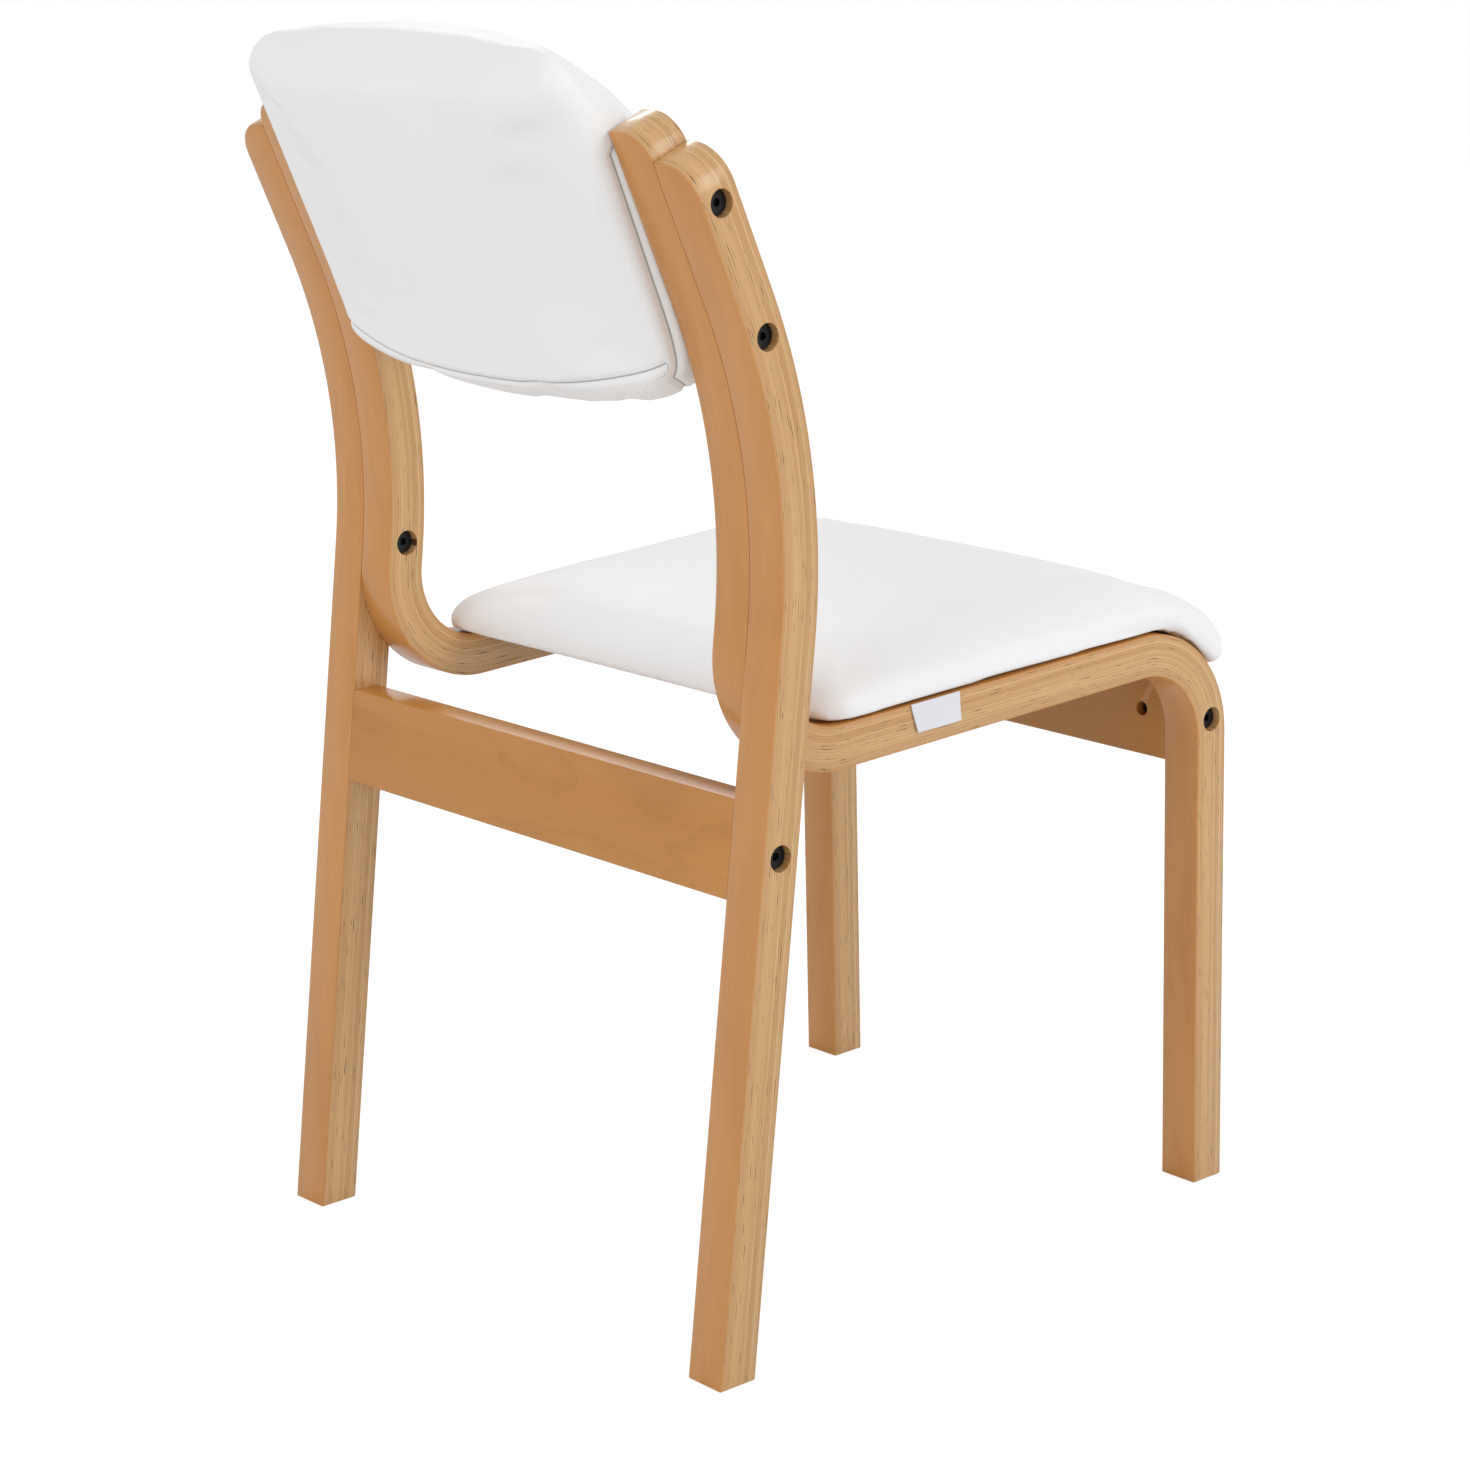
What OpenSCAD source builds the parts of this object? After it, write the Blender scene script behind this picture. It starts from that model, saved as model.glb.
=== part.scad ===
// Waiting room chair: two bent-laminate strips a side, bolted to an upholstered seat and back.
// Z is up, the sitter faces -Y, and the sitter's right hand is at -X.

/* [Side frames] */
// Width over the outer faces of the rear legs, at the rear
frame_width = 440; // [400:1:480]
// Angle by which each side frame opens towards the front, seen from above
toe_angle = 0.8; // [0:0.1:1.5]
// Width of one bent strip, across the chair
strip_width = 30; // [26:1:34]
// Thickness of one bent strip, through its plies
strip_thickness = 29; // [26:1:32]
// Chamfer along the long edges of the strips
strip_chamfer = 1; // [0.5:0.25:2]

/* [Rear posts] */
// Lean of the straight rear leg from vertical
leg_lean = 6; // [4:0.5:8]
// Length of the straight leg, along its rear face
leg_run = 467; // [450:1:490]
// Radius of the bend behind the sitter's back, at the rear face
post_bend_radius = 386; // [340:1:430]
// Recline of the post's straight top from vertical, in degrees
recline = 24.7; // [20:0.1:28]
// Length of the post's rear face from the start of that bend to its top end
post_upper_length = 302.3; // [292:0.1:316]
// Radius that rounds the outer corner of the post's top
post_corner = 24; // [12:1:26]

/* [Seat frames] */
// Height of the seat frame's top above the post's top, along the slope
frame_rise = 18; // [8:1:26]
// Radius that rounds the outer corner of the seat frame's top
frame_corner = 20; // [12:1:26]
// Straight length between the two bends of the seat frame's upright
upright_run = 10; // [6:1:20]
// Inside radius of the bend behind the seat
rear_bend_radius = 49.5; // [42:0.5:60]
// Rise of the side rail towards the front
rail_rise = 2.5; // [1:0.5:4]
// Straight length of the side rail
rail_run = 284.5; // [270:0.5:310]
// Inside radius of the bend over the front leg
front_bend_radius = 54; // [46:0.5:64]
// Splay of the front leg towards the front
leg_splay = 1.8; // [0:0.1:4]

/* [Rear stretcher and front apron] */
// Height of the rear stretcher's top edge above the floor
stretcher_top = 366; // [340:1:368]
// Height of the rear stretcher
stretcher_height = 63; // [55:1:75]
// Thickness of the rear stretcher
stretcher_thickness = 21; // [20:1:24]
// Height of the front apron's lower edge above the floor
apron_bottom = 307; // [290:1:315]
// Thickness of the front apron
apron_thickness = 22; // [20:1:24]
// Distance that the apron's rear face stands forward of the front leg's
apron_setback = 1.5; // [0.5:0.5:3]

/* [Seat] */
// Thickness of the moulded plywood under the seat
seat_board_thickness = 10; // [8:1:12]
// Thickness of the cover cloth under the seat board
dust_cover_thickness = 1; // [0.6:0.1:1.5]
// Overhang of the seat cushion beyond the side rails
seat_overhang = 5; // [2:0.5:8]
// Distance of the cushion's rear edge behind the start of the straight rail
seat_rear_reach = 20; // [12:1:22]
// Angle by which the cushion wraps over the front bend, in degrees
seat_wrap = 58; // [50:1:62]
// Radius of the cushion's rear corners, seen from above
seat_corner = 30; // [24:1:44]
// Height of the cushion near its edge, above the rails
seat_edge_height = 37; // [32:1:44]
// Extra height of the cushion's crown at its middle
seat_crown = 9; // [4:1:14]

/* [Backrest] */
// Distance of the pad's lower edge above the start of the post's bend, along the post
back_start = 125; // [112:1:136]
// Length of the pad, along the post
back_length = 262; // [240:1:270]
// Drop of the pad's upper edge from its middle to its sides
back_dome = 10; // [4:1:16]
// Rise of the pad's lower edge from its middle to its sides
back_sag = 20; // [10:1:26]
// Radius of the pad's upper corners, at the rear
back_top_corner = 30; // [24:1:40]
// Radius of the pad's lower corners
back_low_corner = 34; // [26:1:44]
// Depth behind the posts of the seam between the pad's rear panel and its side band
back_seam_depth = 7; // [4:1:10]
// Depth by which the rear panel stands out past that seam, near its edge
back_rear_edge = 12; // [8:1:16]
// Extra depth of the rear panel at its middle
back_rear_crown = 6; // [2:1:10]
// Depth of the pad in front of its board, past the rounded sides
back_front_edge = 6; // [4:1:10]
// Extra depth of the pad in front of its board, at its middle
back_front_crown = 10; // [4:1:14]
// Thickness of the moulded plywood in the back
back_board_thickness = 9; // [8:1:12]
// Width of the hardwood batten at each side of the back
batten_width = 26; // [24:1:34]
// Thickness of the hardwood batten
batten_thickness = 21; // [20:1:22]

/* [Fasteners] */
// Diameter of the bolts' shanks
bolt_diameter = 6; // [6:0.5:8]
// Diameter of the bolts' heads
head_diameter = 15; // [13:0.5:15]
// Height of the bolts' heads
head_height = 4.5; // [4:0.5:6]
// Width across flats of the hexagon socket in the heads
socket_width = 5; // [4:0.5:5]
// Diameter of the recess that each head sinks into
recess_diameter = 17; // [16.5:0.5:18]
// Depth of that recess
recess_depth = 10; // [8:0.5:12]
// Diameter of the barrel nuts
barrel_diameter = 10; // [10:0.5:11]
// Distance of the barrel nuts from the ends of the stretcher and the apron
barrel_inset = 23; // [20:1:28]
// Diameter of the threaded inserts
insert_diameter = 10; // [9:0.5:11]
// Length of the threaded inserts
insert_length = 18; // [14:1:20]
// Diameter of the beech dowels
dowel_diameter = 8; // [7:1:9]
// Length of the beech dowels
dowel_length = 36; // [30:1:40]

/* [Hidden] */
$fn = 72;

// Play between a piece and the hole or neighbour that it fits
fit = 0.1;
// Play between a bolt's shank and its clearance hole, on the diameter
bolt_play = 1;
// Gap that a soft piece keeps from the wood
soft_gap = 0.3;
// Length by which a cutting shape runs past what it cuts
overrun = 5;
// Length by which the straight and bent steps of one strip run into each other
seam_lap = 0.002;
// Height of the shape that trims the sheets under the seat to their plan
plan_cut_height = 180;
// Turn of one facet along a bend of the strips
bend_facet_angle = 2.5;
// Places along the quarter round at a strip's top end
round_shares = [0, 0.15, 0.3, 0.45, 0.6, 0.75, 0.88, 1];

// Where the cushions' sections lie along their length, as shares of the part they are in
seat_rear_shares = [0.01, 0.1, 0.3, 0.55, 0.8];
seat_straight_shares = [0.2, 0.36, 0.54, 0.72, 0.88, 1];
seat_wrap_shares = [0.13, 0.27, 0.41, 0.55, 0.67, 0.77];
seat_front_shares = [0.5, 0.25, 0.08, 0.01];
back_low_shares = [0.01, 0.1, 0.3];
back_above_pocket_shares = [0.85, 1.2];
back_middle_shares = [0.18, 0.28, 0.4, 0.52, 0.64, 0.75];
back_top_shares = [0.84, 0.64, 0.48, 0.34, 0.22, 0.1, 0.03, 0.005];
// Where the points of a section lie, as shares of its rounded edge and of its half width
seat_edge_shares = [0.06, 0.2, 0.42, 0.7, 1];
seat_crown_shares = [0.4, 0.65, 1];
front_edge_shares = [0, 0.06, 0.2, 0.45, 1];
front_crown_shares = [0.3, 0.5, 0.72, 1];
rear_edge_shares = [0, 0.06, 0.25, 0.55, 1];
rear_crown_shares = [0.2, 0.35, 0.55, 0.8, 1];

// Depth of the hexagon socket
socket_depth = 3;
// Engagement of a bolt past the middle of its barrel nut
bolt_past_barrel = 8;
// Length of the barrel nuts
barrel_length = 14;
// Skin of wood left beyond the barrel nut's hole
barrel_skin = 3;
// Chamfer at the ends of the dowels
dowel_chamfer = 1;
// Spacing of the dowels above and below the bolt, in the stretcher and in the apron
dowel_offset = 20;
apron_dowel_offset = 15;
// Extra depth of a dowel hole past its dowel
dowel_hole_slack = 1;

// Places of the two backrest bolts along the post, from the start of its bend
back_bolt_places = [184, 271];
// Place of the bolt that joins post and seat frame, from the start of the bend
joint_bolt_place = 6;
// Height of the bolts in the stretcher and in the apron above the floor
stretcher_bolt_height = 334;
apron_bolt_height = 340;

// Seat screws: places along the rail, and the sizes of screw and recess
seat_screw_places = [62, 226];
screw_diameter = 4.5;
screw_head_diameter = 9;
screw_head_height = 3;
screw_recess_diameter = 11;
screw_recess_depth = 13;
screw_bite = 7;

// Edge of the seat board inside the cushion's cover, and of the cloth below it
seat_board_inset = 12;
dust_cover_inset = 4;
// Height at which the seat cushion is widest
seat_bulge_height = 13;
// Width over which its upper edge rounds, and over which its front lip does
seat_shoulder = 30;
seat_lip_round = 14;
// Width over which its lower edge rounds at the sides, the lip and the rear
seat_underround = 5;
seat_rear_underround = 26;
// Radius of its front corners
seat_tip = 10;
// Thickness of the cushion at its front lip, as a share of that at the rail
seat_lip_share = 0.8;
// How far the long sides pull in between the corners
seat_side_pull = 2;
// Width over which the cushions' crowns rise
crown_reach = 110;
back_rear_crown_reach = 82.5;
// Slant of the walls of the pockets in the foam
pocket_slant = 0.5;

// Edge of the back's board inside its cover at the sides, the top and the bottom
back_board_inset = 9;
back_board_top_inset = 60;
back_board_low_inset = 13;
// Depth whose rounding the pocket of the back follows
back_pocket_round = 10;
// Gap between the foam of the back and its board
back_pocket_gap = 1.2;
// Length of the battens past their bolts
batten_margin = 18;
// Depth in front of the posts' rear faces at which the pad's sides start to round,
// and the width over which they do
back_side_depth = 26;
back_shoulder = 24;
// Length over which the pad's top falls forward, and that over which its bottom rounds
back_top_fall = 50;
back_low_fall = 24;
// Growth of the upper corners' radius and of the top's arch, per length of depth
back_corner_share = 1.4;
back_dome_share = 0.9;
back_growth_depth = 40;
// Width over which the rear panel rises from its seam at the sides, and at its ends
back_rear_shoulder = 10;
back_rear_roll = 28;

// Woven side tab: its length, height, thickness and place along the rail
tab_length = 44;
tab_height = 19;
tab_thickness = 0.8;
tab_place = 60;
tab_slant = 5;

// Directions in the side view, as [y, z]
function heading(a) = [cos(a), sin(a)];
function left_of(a) = [-sin(a), cos(a)];

// The rear post's rear face: foot at [0, 0], straight leg, bend, straight top
leg_heading = 90 + leg_lean;
post_bend = leg_lean + recline;
top_heading = leg_heading - post_bend;
bend_length = post_bend_radius * post_bend * PI / 180;
post_top_run = post_upper_length - bend_length;
bend_start = leg_run * heading(leg_heading);
bend_centre = bend_start - post_bend_radius * left_of(leg_heading);

// A point on the post, by its distance from the bend's start and its depth from the rear face
function post_point(place, depth) =
    place < 0
        ? bend_start + place * heading(leg_heading) + depth * left_of(leg_heading)
    : place < bend_length
        ? bend_centre + (post_bend_radius + depth)
            * left_of(leg_heading - place / post_bend_radius * 180 / PI)
    : bend_centre + (post_bend_radius + depth) * left_of(top_heading)
        + (place - bend_length) * heading(top_heading);

// Direction of the post at a place
function post_angle(place) =
    place < 0 ? leg_heading
    : place < bend_length ? leg_heading - place / post_bend_radius * 180 / PI
    : top_heading;

// The seat frame: down from the post's bend, round the rear bend, along the rail,
// over the front bend and down the front leg
half_strip = strip_thickness / 2;
rear_turn = 90 + leg_lean + rail_rise;
front_turn = 90 + rail_rise - leg_splay;
rail_heading = 180 - rail_rise;
rear_radius = rear_bend_radius + half_strip;
front_radius = front_bend_radius + half_strip;
upright_end = post_point(-upright_run, half_strip);
rear_centre = upright_end + rear_radius * left_of(leg_heading);
rail_start = rear_centre + rear_radius * left_of(rail_heading);
rail_end = rail_start + rail_run * heading(rail_heading);
front_centre = rail_end + front_radius * left_of(rail_heading);
leg_down = rail_heading + front_turn;
front_leg_top = front_centre - front_radius * left_of(leg_down);
front_leg_run = front_leg_top[1] / cos(leg_splay);
front_foot_y = front_leg_top[0] - front_leg_run * sin(leg_splay)
    - half_strip / cos(leg_splay);

// A point over the rail's top face, by its distance from the rear bend and its height
wrap_radius = front_radius + half_strip;
inner_face = 2 * strip_width;
function seat_point(place, height) =
    place < rail_run
        ? rail_start + place * heading(rail_heading)
            - (half_strip + height) * left_of(rail_heading)
        : front_centre - (wrap_radius + height)
            * left_of(rail_heading + (place - rail_run) / wrap_radius * 180 / PI);
function wrap_length(angle) = wrap_radius * angle * PI / 180;

// Half widths across the chair at a place y, with the side frames' opening
function frame_outer(y) = frame_width / 2 - strip_width - y * tan(toe_angle);
function frame_inner(y) = frame_width / 2 - 2 * strip_width - y * tan(toe_angle);
// How far forward the frames' opening carries the rails, and the posts' inner faces
rail_shift = 3 / 2 * strip_width * sin(toe_angle);
back_shift = 5 / 2 * strip_width * sin(toe_angle);

// The back: its ends along the post, and the depths of its layers in front of the rear face
back_end = back_start + back_length;
batten_near = half_strip - batten_thickness / 2;
batten_far = half_strip + batten_thickness / 2;
batten_start = back_bolt_places[0] - batten_margin;
batten_end = back_bolt_places[1] + batten_margin;
batten_side = back_board_inset + soft_gap;
board_near = batten_far + fit;
board_far = board_near + back_board_thickness;

// Colours of the finishes
wood = [0.77, 0.58, 0.36];
wood_dark = [0.70, 0.51, 0.29];
vinyl = [0.93, 0.93, 0.92];
black = [0.08, 0.08, 0.08];
steel = [0.62, 0.62, 0.64];

// Stands a side view, drawn in XY, upright with its width along X
module stand_up() {
    rotate([90, 0, 90])
        children();
}

// Places what is drawn for the right side, from its outer face inwards, on one side
module on_side(side) {
    translate([0, -middle_y, 0])
        mirror([side > 0 ? 1 : 0, 0, 0])
            translate([-frame_width / 2, 0, 0])
                rotate([0, 0, -toe_angle])
                    children();
}

module on_both_sides() {
    for (side = [-1, 1])
        on_side(side)
            children();
}

module in_middle(shift = 0) {
    translate([0, -middle_y - shift, 0])
        children();
}

// Section of a bent strip: [across the strip's thickness, across the chair], with
// chamfered long edges, cut away from its outer side by a drop
function strip_section(drop = 0) = let (t = half_strip, w = strip_width, c = strip_chamfer)
    [[-t, drop + c], [-t, w - c], [c - t, w], [t - c, w], [t, w - c], [t, drop + c],
        [t - c, drop], [c - t, drop]];

// Stations past a start along a path of steps [run, radius, turn]: each [point, heading]
function stations(path, start, heading_angle, i = 0) =
    i == len(path) ? [] : let (
        run = path[i][0],
        turn = path[i][2],
        side = sign(turn),
        run_end = start + run * heading(heading_angle),
        centre = run_end + side * path[i][1] * left_of(heading_angle),
        count = ceil(abs(turn) / bend_facet_angle),
        arc = [for (k = [1:1:count]) let (angle = heading_angle + turn * k / count)
            [centre - side * path[i][1] * left_of(angle), angle]],
        next = concat(run > 0 ? [[run_end, heading_angle]] : [], arc),
        last = next[len(next) - 1])
    concat(next, stations(path, last[0], last[1], i + 1));

// The same stations met from the other end
function turned_back(list) = [for (i = [len(list) - 1:-1:0]) [list[i][0], list[i][1] + 180]];

// A strip's section at a station
function strip_ring(station, drop = 0) = [for (corner = strip_section(drop))
    concat(station[0] + corner[0] * left_of(station[1]), [corner[1]])];

// A bent strip through its stations, whose far end has a quarter round at its outer side
module bent_strip(list, round_end) {
    end = list[len(list) - 1];
    skin(concat(
        [for (i = [0:len(list) - 2]) strip_ring(list[i])],
        [for (share = round_shares) strip_ring(
            [end[0] - round_end * (1 - sin(90 * share)) * heading(end[1]), end[1]],
            round_end * (1 - cos(90 * share)))]));
}

// Carries its children past the steps of a path, each [run, radius, turn]
module follow(path, i = 0) {
    if (i < len(path)) {
        side = sign(path[i][2]);
        translate([path[i][0], side * path[i][1], 0])
            rotate([0, 0, path[i][2]])
                translate([0, -side * path[i][1], 0])
                    follow(path, i + 1)
                        children();
    } else {
        children();
    }
}

// Bends a strip of the section drawn by its children along a path
module bend_strip(path, i = 0) {
    run = path[i][0];
    radius = path[i][1];
    turn = path[i][2];
    if (run > 0)
        translate([-seam_lap, 0, 0])
            rotate([90, 0, 90])
                linear_extrude(run + 2 * seam_lap)
                    children();
    if (turn != 0)
        translate([run, sign(turn) * radius, 0])
            rotate([0, 0, turn > 0 ? -90 : 90 + turn])
                rotate_extrude(angle = abs(turn))
                    translate([radius, 0])
                        children();
    if (i < len(path) - 1)
        follow([path[i]])
            bend_strip(path, i + 1)
                children();
}

// Everything below the floor, to trim the feet
module below_floor() {
    translate([-frame_width, -2 * frame_width, -4 * overrun])
        cube([3 * frame_width, 3 * frame_width, 4 * overrun]);
}

// A round hole or pin across the chair, between two distances from the outer face
module across(point, from, to, diameter) {
    translate([from, point[0], point[1]])
        rotate([0, 90, 0])
            cylinder(h = to - from, d = diameter);
}

// A bolt: head, shank and hexagon socket, with its head's seat at a distance from the
// outer face; it points inwards, or outwards where flip is true
module bolt(point, seat, length, flip = false) {
    translate([seat, point[0], point[1]])
        rotate([0, flip ? -90 : 90, 0])
            difference() {
                union() {
                    translate([0, 0, -head_height])
                        cylinder(h = head_height, d = head_diameter);
                    cylinder(h = length, d = bolt_diameter);
                }
                translate([0, 0, -head_height - overrun])
                    cylinder(h = socket_depth + overrun, d = socket_width / cos(30), $fn = 6);
            }
}

// A threaded insert: a sleeve between two distances from the outer face
module insert(point, from, to) {
    difference() {
        across(point, from, to, insert_diameter);
        across(point, from - overrun, to + overrun, bolt_diameter + fit);
    }
}

module dowel(point, middle) {
    h = dowel_length / 2;
    r = dowel_diameter / 2;
    c = dowel_chamfer;
    translate([middle, point[0], point[1]])
        rotate([0, 90, 0])
            rotate_extrude()
                polygon([[0, -h], [r - c, -h], [r, c - h], [r, h - c], [r - c, h], [0, h]]);
}

// Points that the fasteners share, in the side view
stretcher_bolt = post_point(stretcher_bolt_height / cos(leg_lean) - leg_run, half_strip);
apron_bolt = [front_leg_top[0] - (front_leg_top[1] - apron_bolt_height) * tan(leg_splay),
    apron_bolt_height];
joint_bolt = post_point(joint_bolt_place, half_strip);
back_bolts = [for (place = back_bolt_places) post_point(place, half_strip)];
stretcher_dowel_points = [for (k = [-1, 1]) stretcher_bolt
    + k * dowel_offset * heading(leg_heading)];
apron_dowel_points = [for (k = [-1, 1]) apron_bolt
    + apron_dowel_offset * [min(k, 0) * tan(leg_splay), k]];

bolt_hole = bolt_diameter + bolt_play;

// Rear posts

module rear_post() {
    foot = -overrun * heading(leg_heading) + half_strip * left_of(leg_heading);
    path = [[leg_run + overrun, post_bend_radius + half_strip, -post_bend],
        [post_top_run, 0, 0]];
    difference() {
        stand_up()
            bent_strip(concat([[foot, leg_heading]], stations(path, foot, leg_heading)),
                post_corner);
        below_floor();
        for (point = concat(back_bolts, [stretcher_bolt])) {
            across(point, -overrun, recess_depth, recess_diameter);
            across(point, -overrun, strip_width + overrun, bolt_hole);
        }
        across(joint_bolt, strip_width - insert_length - overrun / 2, strip_width + overrun,
            bolt_hole);
        across(joint_bolt, strip_width - insert_length, strip_width + overrun,
            insert_diameter + fit);
        for (point = stretcher_dowel_points)
            across(point, strip_width - dowel_length / 2 - dowel_hole_slack,
                strip_width + overrun, dowel_diameter + fit);
    }
}

// Seat frames

module seat_frame() {
    fork = post_point(0, half_strip);
    upper = [[0, post_bend_radius + half_strip, -post_bend],
        [post_top_run + frame_rise, 0, 0]];
    lower = [[upright_run, rear_radius, -rear_turn], [rail_run, front_radius, front_turn],
        [front_leg_run + overrun, 0, 0]];
    difference() {
        translate([strip_width, 0, 0])
            stand_up()
                bent_strip(concat(turned_back(stations(lower, fork, leg_heading - 180)),
                    [[fork, leg_heading]], stations(upper, fork, leg_heading)), frame_corner);
        below_floor();
        for (point = back_bolts)
            across(point, strip_width - overrun, inner_face + overrun, bolt_hole);
        across(joint_bolt, strip_width - overrun, inner_face + overrun, bolt_hole);
        across(joint_bolt, inner_face - recess_depth, inner_face + overrun, recess_diameter);
        across(apron_bolt, strip_width - overrun, inner_face + overrun, bolt_hole);
        across(apron_bolt, strip_width - overrun, strip_width + recess_depth,
            recess_diameter);
        for (point = apron_dowel_points)
            across(point, inner_face - dowel_length / 2 - dowel_hole_slack,
                inner_face + overrun, dowel_diameter + fit);
        for (place = seat_screw_places)
            at_rail(place) {
                translate([0, 0, -strip_thickness - overrun])
                    cylinder(h = screw_recess_depth + overrun, d = screw_recess_diameter);
                translate([0, 0, -strip_thickness - overrun])
                    cylinder(h = strip_thickness + 2 * overrun, d = screw_diameter + fit);
            }
    }
}

// Places its children on the rail's top face, upright to it, in the middle of its width
module at_rail(place) {
    point = seat_point(place, 0);
    translate([strip_width + strip_width / 2, point[0], point[1]])
        rotate([-rail_rise, 0, 0])
            children();
}

// The space between the two side frames, from one distance inwards of the outer faces
module between_frames(distance, front, rear) {
    edge = frame_width / 2 - distance / cos(toe_angle);
    translate([0, 0, -frame_width])
        linear_extrude(3 * frame_width)
            polygon([[-edge + rear * tan(toe_angle), rear],
                [edge - rear * tan(toe_angle), rear],
                [edge - front * tan(toe_angle), front],
                [-edge + front * tan(toe_angle), front]]);
}

// Rear stretcher and front apron

module rear_stretcher() {
    low = post_point((stretcher_top - stretcher_height) / cos(leg_lean) - leg_run, 0);
    high = post_point(stretcher_top / cos(leg_lean) - leg_run, 0);
    t = stretcher_thickness / cos(leg_lean);
    difference() {
        in_middle()
            intersection() {
                translate([-frame_width, 0, 0])
                    stand_up()
                        linear_extrude(2 * frame_width)
                            polygon([low, high, high - [t, 0], low - [t, 0]]);
                between_frames(strip_width, -2 * strip_thickness - leg_run * sin(leg_lean),
                    strip_thickness);
            }
        on_both_sides() {
            across(stretcher_bolt, strip_width - overrun,
                strip_width + barrel_inset + barrel_diameter + bolt_past_barrel, bolt_hole);
            stretcher_barrel(barrel_diameter + fit, -stretcher_thickness + half_strip - overrun,
                half_strip - barrel_skin);
            for (point = stretcher_dowel_points)
                across(point, strip_width - overrun,
                    strip_width + dowel_length / 2 + dowel_hole_slack, dowel_diameter + fit);
        }
    }
}

// The barrel nut of the stretcher, along the leg's depth, between two depths that are
// measured backwards from the bolt
module stretcher_barrel(diameter, from, to) {
    translate([strip_width + barrel_inset, stretcher_bolt[0], stretcher_bolt[1]])
        rotate([-90 + leg_lean, 0, 0])
            translate([0, 0, from])
                cylinder(h = to - from, d = diameter);
}

// Side view of the apron: square below, and rounded inside the front bend above
module apron_section() {
    rear = front_leg_top[0] + half_strip - apron_setback
        - (front_leg_top[1] - apron_bottom) * tan(leg_splay);
    top = front_centre[1] + wrap_radius;
    intersection() {
        translate([rear - apron_thickness, apron_bottom])
            square([apron_thickness, top - apron_bottom]);
        union() {
            translate(front_centre)
                circle(r = wrap_radius - soft_gap);
            translate([rear - apron_thickness, apron_bottom])
                square([apron_thickness, front_centre[1] - apron_bottom]);
        }
    }
}

module front_apron() {
    difference() {
        in_middle()
            intersection() {
                translate([-frame_width, 0, 0])
                    stand_up()
                        linear_extrude(2 * frame_width)
                            apron_section();
                between_frames(inner_face, 2 * front_foot_y, 0);
            }
        on_both_sides() {
            across(apron_bolt, inner_face - overrun,
                inner_face + barrel_inset + barrel_diameter + bolt_past_barrel, bolt_hole);
            apron_barrel(barrel_diameter + fit, barrel_skin - apron_thickness / 2,
                apron_thickness / 2 + overrun);
            for (point = apron_dowel_points)
                across(point, inner_face - overrun,
                    inner_face + dowel_length / 2 + dowel_hole_slack, dowel_diameter + fit);
        }
    }
}

module apron_barrel(diameter, from, to) {
    translate([inner_face + barrel_inset, apron_bolt[0], apron_bolt[1]])
        rotate([-90, 0, 0])
            translate([0, 0, from])
                cylinder(h = to - from, d = diameter);
}

// Seat

seat_rear = -seat_rear_reach;
seat_front = rail_run + wrap_length(seat_wrap);
cover_level = 2 * soft_gap + dust_cover_thickness;
board_level = soft_gap + dust_cover_thickness + fit;
pad_level = board_level + seat_board_thickness;

// Outline of a flat layer of the seat, seen from above, set in from the cushion's edge
module seat_plan(inset) {
    rear = seat_point(inset / 2, 0)[0];
    corner = seat_corner - inset;
    front = front_foot_y;
    half_rear = frame_outer(rear) + seat_overhang - seat_side_pull - inset;
    half_front = frame_outer(front) + seat_overhang - seat_side_pull - inset;
    difference() {
        polygon([[-half_rear, rear], [half_rear, rear], [half_front, front],
            [-half_front, front]]);
        for (side = [-1, 1])
            mirror([side > 0 ? 0 : 1, 0])
                translate([half_rear - corner, rear - corner])
                    corner_waste(corner);
    }
}

// What a cutter takes off a square corner at +X +Y to round it
module corner_waste(radius) {
    difference() {
        square(radius + overrun);
        circle(r = radius);
    }
}

// A sheet that follows the rails and wraps over the front bends
module seat_sheet(level, thickness, inset) {
    middle = level + thickness / 2;
    wrap = seat_wrap - inset / wrap_radius * 180 / PI;
    intersection() {
        translate([-frame_width, 0, 0])
            stand_up()
                translate(seat_point(0, middle))
                    rotate([0, 0, rail_heading])
                        bend_strip([[rail_run, wrap_radius + middle, wrap]])
                            translate([-thickness / 2, 0])
                                square([thickness, 2 * frame_width]);
        translate([0, 0, apron_bottom])
            linear_extrude(plan_cut_height)
                seat_plan(inset);
    }
}

module seat_board() {
    difference() {
        in_middle(rail_shift)
            seat_sheet(board_level, seat_board_thickness, seat_board_inset);
        seat_screw_holes(pad_level - fit);
    }
}

module seat_dust_cover() {
    difference() {
        in_middle(rail_shift)
            seat_sheet(soft_gap, dust_cover_thickness, dust_cover_inset);
        seat_screw_holes(pad_level);
    }
}

module seat_screw_holes(top) {
    on_both_sides()
        for (place = seat_screw_places)
            at_rail(place)
                translate([0, 0, -overrun])
                    cylinder(h = min(top, board_level + screw_bite + fit) + overrun,
                        d = screw_diameter + fit);
}

// Rise of a rounded edge from 0 at the rim to 1 past a width: a quarter circle, and a
// quarter wave
function arc_rise(inset, width) = inset >= width ? 1 : sqrt(1 - pow(1 - inset / width, 2));
function soft_rise(inset, width) = sin(90 * min(inset / width, 1));
// What a round corner takes off the half width at a distance from the end
function corner_loss(distance, radius) = radius * (1 - arc_rise(distance, radius));

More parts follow.
